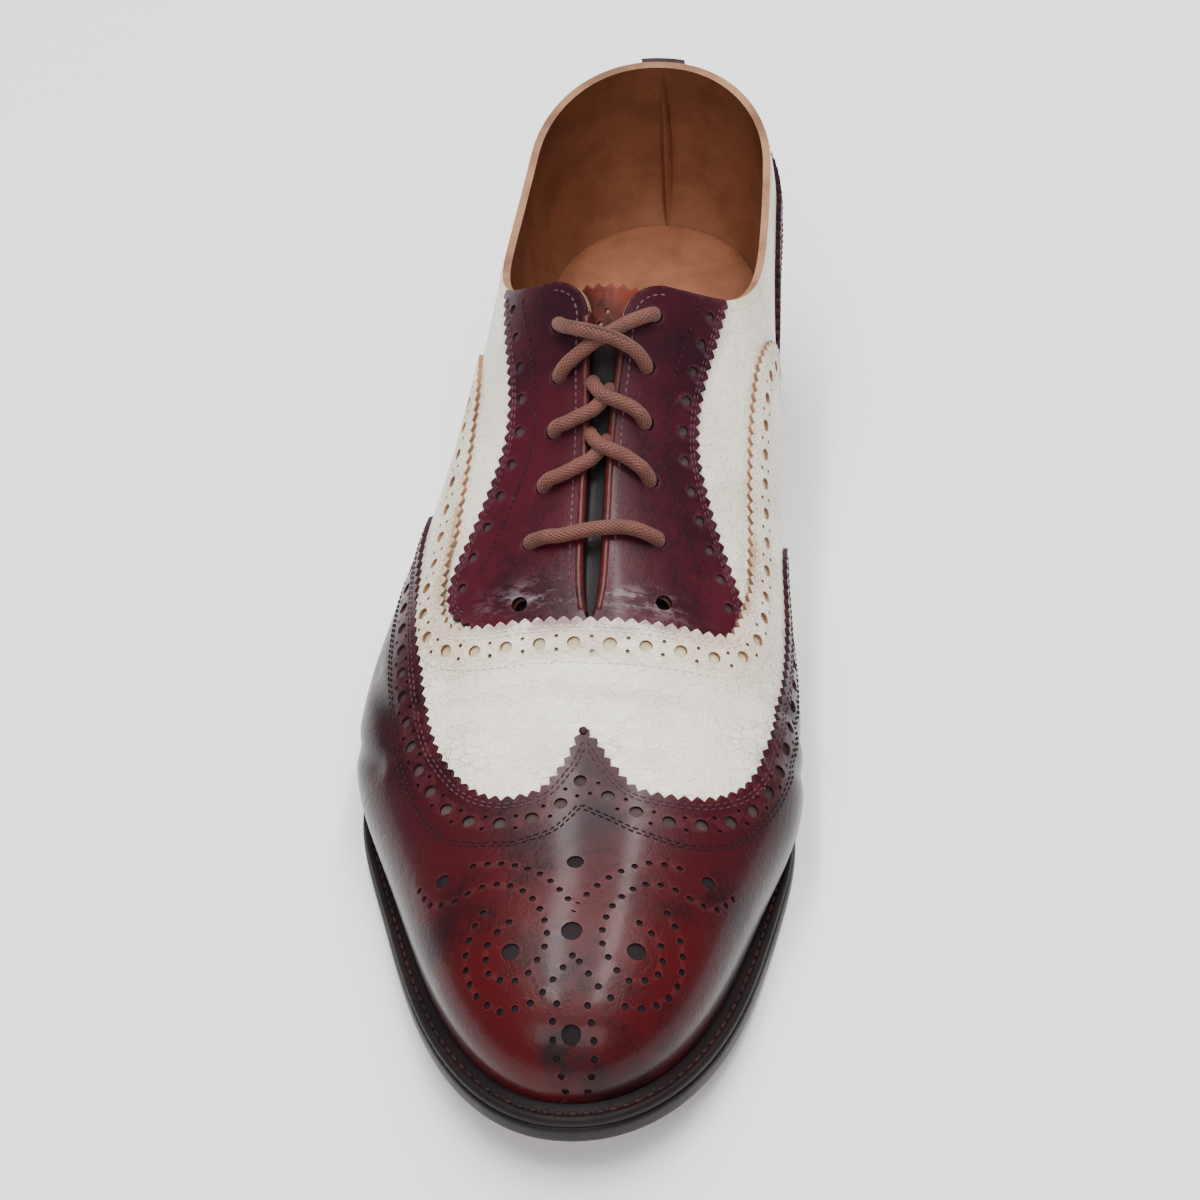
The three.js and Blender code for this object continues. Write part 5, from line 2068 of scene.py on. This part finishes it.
@dataclass(frozen=True)
class Medallion:
    """Punched ornament of the toe: a spiral, an arm and a hook on each side, two columns and the large holes.

    Each row of small holes has the walk and across of the points that it runs through. A large hole has its
    walk, across and radius in millimetres.
    """

    last: Last
    pitch: float = 3.15 * MM
    small: float = 0.72 * MM
    rows: tuple = (
        (
            (0.2281, -0.292), (0.2280, -0.205), (0.2235, -0.132), (0.2149, -0.072), (0.1991, -0.015),
            (0.1891, 0.010),
        ),
        (
            (0.2393, 0.308), (0.2381, 0.214), (0.2297, 0.146), (0.2172, 0.087), (0.2003, 0.032), (0.1934, 0.015),
        ),
        (
            (0.2227, -0.545), (0.2059, -0.504), (0.2015, -0.391), (0.2084, -0.289), (0.2096, -0.202),
            (0.2009, -0.127), (0.1824, -0.080), (0.1586, -0.070), (0.1322, -0.142), (0.1267, -0.202),
            (0.1339, -0.314), (0.1593, -0.293), (0.1773, -0.192),
        ),
        (
            (0.2361, 0.558), (0.2206, 0.511), (0.2165, 0.415), (0.2208, 0.312), (0.2196, 0.217), (0.2071, 0.152),
            (0.1874, 0.110), (0.1620, 0.116), (0.1410, 0.201), (0.1366, 0.266), (0.1477, 0.368), (0.1715, 0.335),
            (0.1857, 0.223),
        ),
        (
            (0.1874, -0.283), (0.1706, -0.354), (0.1466, -0.424), (0.1227, -0.430), (0.1043, -0.347),
            (0.1015, -0.275), (0.1083, -0.128), (0.1290, -0.038), (0.1498, 0.020),
        ),
        (
            (0.1997, 0.312), (0.1840, 0.392), (0.1629, 0.462), (0.1406, 0.484), (0.1212, 0.413), (0.1144, 0.277),
            (0.1244, 0.149), (0.1413, 0.062), (0.1452, 0.046),
        ),
        (
            (0.1065, -0.023), (0.0899, -0.041), (0.0745, -0.043), (0.0561, -0.022), (0.0377, 0.015), (0.0177, 0.182),
        ),
        (
            (0.1078, 0.113), (0.0938, 0.152), (0.0797, 0.200), (0.0628, 0.271), (0.0457, 0.363), (0.0299, 0.585),
        ),
        ((0.1317, 0.030), (0.1231, 0.030)),
    )
    large: tuple = (
        (0.2302, 0.000, 1.75), (0.1708, 0.009, 2.15), (0.1521, -0.201, 1.85), (0.1617, 0.245, 1.90),
        (0.2212, -0.422, 1.60), (0.2363, 0.430, 1.60), (0.0786, 0.064, 1.90),
    )

    def loops(self) -> list[Array]:
        """Every hole.

        Returns:
            Loops in the chart.
        """
        large = np.array(self.large)
        found = circles(self.last, large[:, :2], large[:, 2] * MM, 18)
        for row in self.rows:
            found += circles(self.last, Path.through(self.last, row, 60).resampled(self.pitch), self.small, 8)
        return found


@dataclass
class Laces(Piece):
    """One lace: a bar, two crossings that dive between the facings, and an outside crossing at the top.

    The way up through an eyelet has rows of distance inside it and height off the last, in millimetres. A
    crossing has its name, its eyelet pair and how far up the shoe it dives. A strand has its side, its lift
    over the other one and how much farther up the shoe it dives.
    """

    heights: LayerHeights = LayerHeights()
    radius: float = 1.75 * MM
    sides: int = 16
    points: int = 90
    way_up: tuple = ((0.0, -1.0), (0.0, 1.6), (0.5, 3.9))
    bar_reach: float = 9.6 * MM
    crossings: tuple = (("low", 2, 0.022), ("middle", 3, 0.018))
    strands: tuple = ((-1, 0.0, 0.0), (1, 1.0 * MM, 0.008))
    top_bump: float = 2.9 * MM

    def over(self, share: float, reach: float, height: float) -> Array:
        """Point over the facings.

        Args:
            share: place along the shoe.
            reach: signed distance from the centre line.
            height: height off the last.

        Returns:
            The point.
        """
        share = share - EYELET_SKEW * float(np.clip(reach / (6 * MM), -1, 1))
        across = self.last.across_at_reach(np.array([share]), np.array([reach]))
        return self.last.offset(self.last.walk(np.array([share])), across, height)[0]

    def through(self, pair: tuple[float, float], side: int) -> list[Array]:
        """Way up through an eyelet."""
        return [self.over(pair[0], side * (pair[1] - inside * MM), rise * MM) for inside, rise in self.way_up]

    def build(self) -> None:
        """Builds the four visible runs."""
        half = self.last.sizes.width / 2
        top = self.heights.lace
        eyelets = [(share, reach * half) for share, reach in EYELETS]
        first = eyelets[1]
        span = np.linspace(-self.bar_reach, self.bar_reach, 7)
        bar = [self.over(first[0], x, top + 0.1 * MM) for x in span]
        self.run("lace_bar_cord", [self.through(first, -1) + bar + self.through(first, 1)[::-1]], "lace_bar")
        for name, number, rise in self.crossings:
            strands = [self.diving(eyelets[number], rise, *strand) for strand in self.strands]
            self.run(f"lace_{name}_cord", strands, f"lace_crossing_{name}")
        low, high = eyelets[4], eyelets[5]
        left, right = self.through(high, -1), self.through(high, 1)
        for t in np.linspace(0.14, 0.86, 6):
            share = high[0] + (low[0] - high[0]) * t
            bump = self.top_bump * math.sin(math.pi * t) ** 2
            left.append(self.over(share, -high[1] + (low[1] + high[1]) * t, top + bump))
            right.append(self.over(share, high[1] - (low[1] + high[1]) * t, top + 0.1 * MM))
        left += self.through(low, 1)[::-1]
        right += self.through(low, -1)[::-1]
        self.run("lace_top_cord", [left, right], "lace_crossing_top")

    def diving(self, pair: tuple[float, float], rise: float, side: int, lift: float, farther: float) -> list[Array]:
        """Strand from an eyelet over the facing and down into the gap.

        Args:
            pair: share and reach of the eyelet.
            rise: how far up the shoe the crossing dives.
            side: -1 lateral, 1 medial.
            lift: height over the other strand.
            farther: how much farther up the shoe this strand dives.

        Returns:
            Points of the strand.
        """
        top = self.heights.lace
        target = pair[0] - rise - farther
        points = self.through(pair, side)
        for t in np.linspace(0.22, 0.86, 4):
            share = pair[0] + (target + 0.012 - pair[0]) * t
            points.append(self.over(share, side * (pair[1] * (1 - t) + 1.2 * MM * t), top + lift * t))
        points.append(self.over(target + 0.010, side * 0.6 * MM, top + lift - 0.4 * MM))
        points.append(self.over(target + 0.001, -side * 1.2 * MM, self.heights.facing + 0.6 * MM))
        points.append(self.over(target - 0.004, -side * 2.0 * MM, 1.4 * MM))
        return points

    def run(self, name: str, paths: Sequence[list[Array]], node: str) -> None:
        """Tubes along one or more paths, as a piece.

        Args:
            name: name of the piece.
            paths: points of each path.
            node: node that it stands for.
        """
        parts = [[], [], [], []]
        for path in paths:
            found = tube(smooth_rows(np.array(path), self.points), self.radius, self.sides, len(parts[0]))
            for rows, more in zip(parts, found):
                rows += more
        piece = make_mesh(name, np.array(parts[0]), parts[1])
        piece.data.materials.append(self.finishes.lace)
        put_attributes(piece, around=parts[2], run=parts[3])
        self.give(piece, "lace", node)


@dataclass
class Sole(Piece):
    """Outsole, welt, insole, heel stack and top lift, lofted round the feather line.

    A profile has a row for each ring, from the lowest up: its distance inside the edge and its height, in
    millimetres.
    """

    repeater: Repeater
    outsole: tuple = (
        (1.1, 0.0), (0.35, 0.2), (0.05, 0.7), (0.0, 1.6), (0.0, 3.6), (0.1, 4.3), (0.45, 4.8), (0.9, 5.0),
    )
    welt: tuple = (
        (1.0, 5.2), (0.55, 5.4), (0.4, 5.9), (0.4, 6.6), (0.6, 7.2), (1.1, 7.55), (1.8, 7.6), (2.2, 7.35),
        (2.7, 7.35), (3.1, 7.65),
    )
    welt_inside: tuple = ((3.0, 7.7), (3.0, 5.3))
    insole: tuple = ((3.5, 5.3), (3.5, 8.0), (0.5, 8.0), (0.4, 9.6), (0.9, 10.0))
    rubber: tuple = ((2.4, 0.0), (1.95, 0.5), (1.8, 1.2), (1.7, 5.2), (1.9, 5.9), (2.3, 6.0))
    layers: int = 4
    grooves: tuple = ((0.01, 0.28), (0.04, 0.02), (-0.04, 0.0), (-0.01, 0.24))
    heel_floor: float = 6.3 * MM
    heel_front: float = 0.245
    columns: int = 14
    sharp: float = math.radians(40)
    stitch_pitch: float = 2.9 * MM
    stitch_size: tuple = (2.5 * MM, 1.1 * MM, 0.9 * MM)

    def reach(self, share: Array) -> Array:
        """How far the sole's edge stands outside the feather line."""
        return 3.5 * MM + 5 * MM * self.last.column["welt"](share)

    def edge(self, inset: float) -> Callable[[Array], Array]:
        """Reach of a ring inside the sole's edge, from a share."""
        return lambda share: self.reach(share) - inset * MM

    @staticmethod
    def seat(inset: float) -> Callable[[Array], Array]:
        """Reach of a ring inside the feather line, from a share."""
        return lambda share: 0 * share - inset * MM

    @staticmethod
    def level(height: float) -> Callable[[Array], Array]:
        """Even height over the floor, from a share."""
        return lambda share: 0 * share + height * MM

    def above(self, rise: float) -> Callable[[Array], Array]:
        """Height over the outsole's underside, from a share."""
        return lambda share: self.last.underside(share) + rise * MM

    def stacked(self, t: float) -> Callable[[Array], Array]:
        """Height between the top lift and the outsole, from a share."""
        floor = self.heel_floor
        return lambda share: floor + (self.last.underside(share) - 0.3 * MM - floor) * t

    def ring(self, walk: Array, reach: Callable, height: Callable) -> Array:
        """Closed ring of points round the sole.

        Args:
            walk: places from the front to the heel.
            reach: distance outside the feather line for a share.
            height: height for a share.

        Returns:
            Points, one row each.
        """
        share = self.last.share(walk)
        points = []
        for side in (-1, 1):
            plan = self.last.outline(walk, np.full(len(walk), side), reach(share))
            points.append(np.column_stack((plan, np.broadcast_to(height(share), share.shape))))
        whole = walk[0] <= 0
        return np.vstack((points[0], points[1][1 if whole else 0 : -1][::-1]))

    def loft(
        self, name: str, walk: Array, profile: Sequence[tuple], materials: Sequence, closed: bool = False,
    ) -> bpy.types.Object:
        """Body lofted through rings.

        Args:
            name: name of the piece.
            walk: places of the rings' points.
            profile: reach and height functions of each ring, from the lowest up.
            materials: side, top cap and bottom cap.
            closed: whether the last ring joins the first.

        Returns:
            The piece.
        """
        rings = [self.ring(walk, reach, height) for reach, height in profile]
        count = len(rings[0])
        verts = np.vstack(rings)
        faces = []
        for level in range(len(rings) if closed else len(rings) - 1):
            low = level * count
            high = ((level + 1) % len(rings)) * count
            for k in range(count):
                n = (k + 1) % count
                faces.append((low + k, high + k, high + n, low + n))
        index = [0] * len(faces)
        if not closed:
            for cap, base in ((1, (len(rings) - 1) * count), (2, 0)):
                verts, found = self.cap(verts, walk, base, count)
                faces += [face[::-1] for face in found] if cap == 1 else found
                index += [cap] * len(found)
        piece = make_mesh(name, verts, faces)
        for material in materials:
            piece.data.materials.append(material)
        wanted = np.minimum(np.array(index), len(materials) - 1)
        piece.data.polygons.foreach_set("material_index", wanted.astype(np.int32))
        piece.data.set_sharp_from_angle(angle=self.sharp)
        self.outward(piece)
        return piece

    def cap(self, verts: Array, walk: Array, base: int, count: int) -> tuple[Array, list]:
        """Grid of faces across a ring.

        Args:
            verts: points so far.
            walk: places of the ring's points.
            base: number of the ring's first point.
            count: points in the ring.

        Returns:
            Points with the new ones, and the faces.
        """
        grid, extra, faces = [], [], []
        for i in range(len(walk)):
            a = base + i
            b = base + ((count - i) % count if walk[0] <= 0 else count - 1 - i)
            b = a if i == len(walk) - 1 else b
            line = [a]
            if a != b and i > 0:
                for t in np.linspace(0, 1, self.columns + 1)[1:-1]:
                    extra.append(verts[a] * (1 - t) + verts[b] * t)
                    line.append(len(verts) + len(extra) - 1)
            grid.append(line + [b])
        for near, far in zip(grid[:-1], grid[1:]):
            for j in range(max(len(near), len(far)) - 1):
                a0, a1 = (near[min(k, len(near) - 1)] for k in (j, j + 1))
                b0, b1 = (far[min(k, len(far) - 1)] for k in (j, j + 1))
                face = list(dict.fromkeys((a0, b0, b1, a1)))
                if len(face) > 2:
                    faces.append(face)
        return np.vstack((verts, np.array(extra))), faces

    @staticmethod
    def outward(piece: bpy.types.Object) -> None:
        """Turns a closed piece's faces outward.

        Args:
            piece: the piece.
        """
        mesh = piece.data
        mesh.calc_loop_triangles()
        points = np.array([v.co[:] for v in mesh.vertices])
        tri = np.array([t.vertices[:] for t in mesh.loop_triangles])
        a, b, c = points[tri[:, 0]], points[tri[:, 1]], points[tri[:, 2]]
        if (np.cross(a, b) * c).sum() < 0:
            mesh.flip_normals()

    def build(self) -> None:
        """Builds every piece of the sole."""
        f = self.finishes
        walk = np.linspace(0, 1, 181)
        heel_walk = np.linspace(float(self.last.walk(self.heel_front)), 1, 70)
        outsole = [(self.edge(inset), self.above(rise)) for inset, rise in self.outsole]
        self.give(self.loft("outsole_leather", walk, outsole, (f.sole, f.sole, f.bottom)), "sole_leather", "outsole")
        welt = [(self.edge(inset), self.above(rise)) for inset, rise in self.welt]
        welt += [(self.seat(inset), self.above(rise)) for inset, rise in self.welt_inside]
        self.give(self.loft("welt_strip", walk, welt, (f.welt,), True), "welt_leather", "welt")
        self.welt_stitches()
        insole = [(self.seat(inset), self.above(rise)) for inset, rise in self.insole]
        self.give(self.loft("insole_sock", walk, insole, (f.lining,)), "lining_leather", "insole")
        stack = []
        for k in range(self.layers):
            for shift, groove in self.grooves:
                t = (k + (shift < 0)) / self.layers + shift
                stack.append((self.edge(0.8 + 0.8 * (1 - t) + groove), self.stacked(t)))
        self.give(self.loft("heel_layers", heel_walk, stack, (f.sole,)), "sole_leather", "heel_stack")
        rubber = [(self.edge(inset), self.level(rise)) for inset, rise in self.rubber]
        self.give(self.loft("heel_rubber", heel_walk, rubber, (f.rubber,)), "rubber", "top_lift")

    def welt_stitches(self) -> None:
        """Beads of thread along the welt's groove."""
        walk = np.linspace(0.0, 0.75, 1200)
        groove, height = self.edge(2.45), self.above(7.55)
        places = []
        for side in (-1, 1):
            share = self.last.share(walk)
            plan = self.last.outline(walk, np.full(len(walk), side), groove(share))
            line = np.column_stack((plan, height(share)))
            places.append(line[::-1] if side < 0 else line[1:])
        line = np.vstack(places)
        run = runs(line)
        count = int(run[-1] / self.stitch_pitch)
        distance = (np.arange(count) + 0.5) * run[-1] / count
        before, points, after = (
            np.stack([np.interp(distance + step, run, line[:, k]) for k in range(3)], 1)
            for step in (-0.5 * MM, 0.0, 0.5 * MM)
        )
        along, out = unit(after - before), np.tile((0.0, 0.0, 1.0), (count, 1))
        thread = self.finishes.brown_thread
        piece = self.repeater.beads("welt_stitches", points, along, out, self.stitch_size, thread, 0.2)
        self.give(piece, "welt_leather")


@dataclass
class Studio:
    """Pale floor, soft lights and the photograph's camera.

    A light has its name, place, length and width, power and share of highlights.
    """

    eye: tuple = (0.0691, -0.4152, 0.4462)
    aim: tuple = (0.000, -0.007, 0.030)
    roll: float = math.radians(-3.5)
    lens: float = 71.0
    sensor: float = 36.0
    floor_half: float = 3.0
    sky: float = 0.26
    lamps: tuple = (
        ("strip_left", (-0.19, 0.30, 1.05), (1.3, 0.09), 10.0, 2.6),
        ("strip_right", (0.19, 0.30, 1.05), (1.3, 0.09), 10.0, 2.6),
        ("front", (0.0, -1.2, 1.1), (1.2, 0.6), 13.0, 0.1),
        ("top", (0.0, 0.0, 1.5), (1.4, 1.4), 13.0, 0.1),
    )

    def build(self) -> None:
        """Builds the stage."""
        self.floor()
        self.lights()
        self.camera()

    def floor(self) -> None:
        """Plain pale floor."""
        corners = [(x * self.floor_half, y * self.floor_half, 0.0) for x, y in ((-1, -1), (1, -1), (1, 1), (-1, 1))]
        floor = make_mesh("floor", corners, [(0, 1, 2, 3)])
        g = Graph("floor_paint")
        tone = g.blend(g.noise(3, 2, 0.5).ramp(0.3, 0.7), (0.94, 0.94, 0.94), (0.96, 0.96, 0.96))
        floor.data.materials.append(g.finish(Base_Color=tone, Roughness=0.8))
        floor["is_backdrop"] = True

    def lights(self) -> None:
        """Soft studio light from above and both sides."""
        world = bpy.data.worlds.new("studio")
        world.use_nodes = True
        sky = world.node_tree.nodes["Background"].inputs
        sky["Color"].default_value = (1, 1, 1, 1)
        sky["Strength"].default_value = self.sky
        bpy.context.scene.world = world
        for name, place, size, power, shine in self.lamps:
            data = bpy.data.lights.new(name, "AREA")
            data.shape = "RECTANGLE"
            data.size, data.size_y = size
            data.energy = power
            data.specular_factor = shine
            light = bpy.data.objects.new(name, data)
            light.location = place
            aim = Vector((0, place[1] if name.startswith("strip") else 0, 0.03))
            light.rotation_euler = (aim - Vector(place)).to_track_quat("-Z", "Y").to_euler()
            bpy.context.scene.collection.objects.link(light)

    def camera(self) -> None:
        """Camera at the photograph's place, rolled about the view direction."""
        data = bpy.data.cameras.new("camera")
        data.lens = self.lens
        data.sensor_width = data.sensor_height = self.sensor
        camera = bpy.data.objects.new("camera", data)
        bpy.context.scene.collection.objects.link(camera)
        look = (Vector(self.aim) - Vector(self.eye)).to_track_quat("-Z", "Y")
        camera.location = self.eye
        camera.rotation_euler = (look.to_matrix() @ Matrix.Rotation(self.roll, 3, "Z")).to_euler()
        bpy.context.scene.camera = camera


def main() -> None:
    """Builds the shoe and its stage."""
    logging.basicConfig(level=logging.INFO, format="%(message)s")
    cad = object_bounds()
    last = Last(LastSizes())
    finishes = Finishes()
    repeater = Repeater()
    Studio().build()
    Sole(last, finishes, repeater).build()
    Upper(last, finishes, repeater).build()
    Laces(last, finishes).build()
    as_lists = lambda box: [[float(n) for n in corner] for corner in box]
    {"cad": as_lists(cad), "visual": as_lists(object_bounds())}


if __name__ == "__main__":
    main()
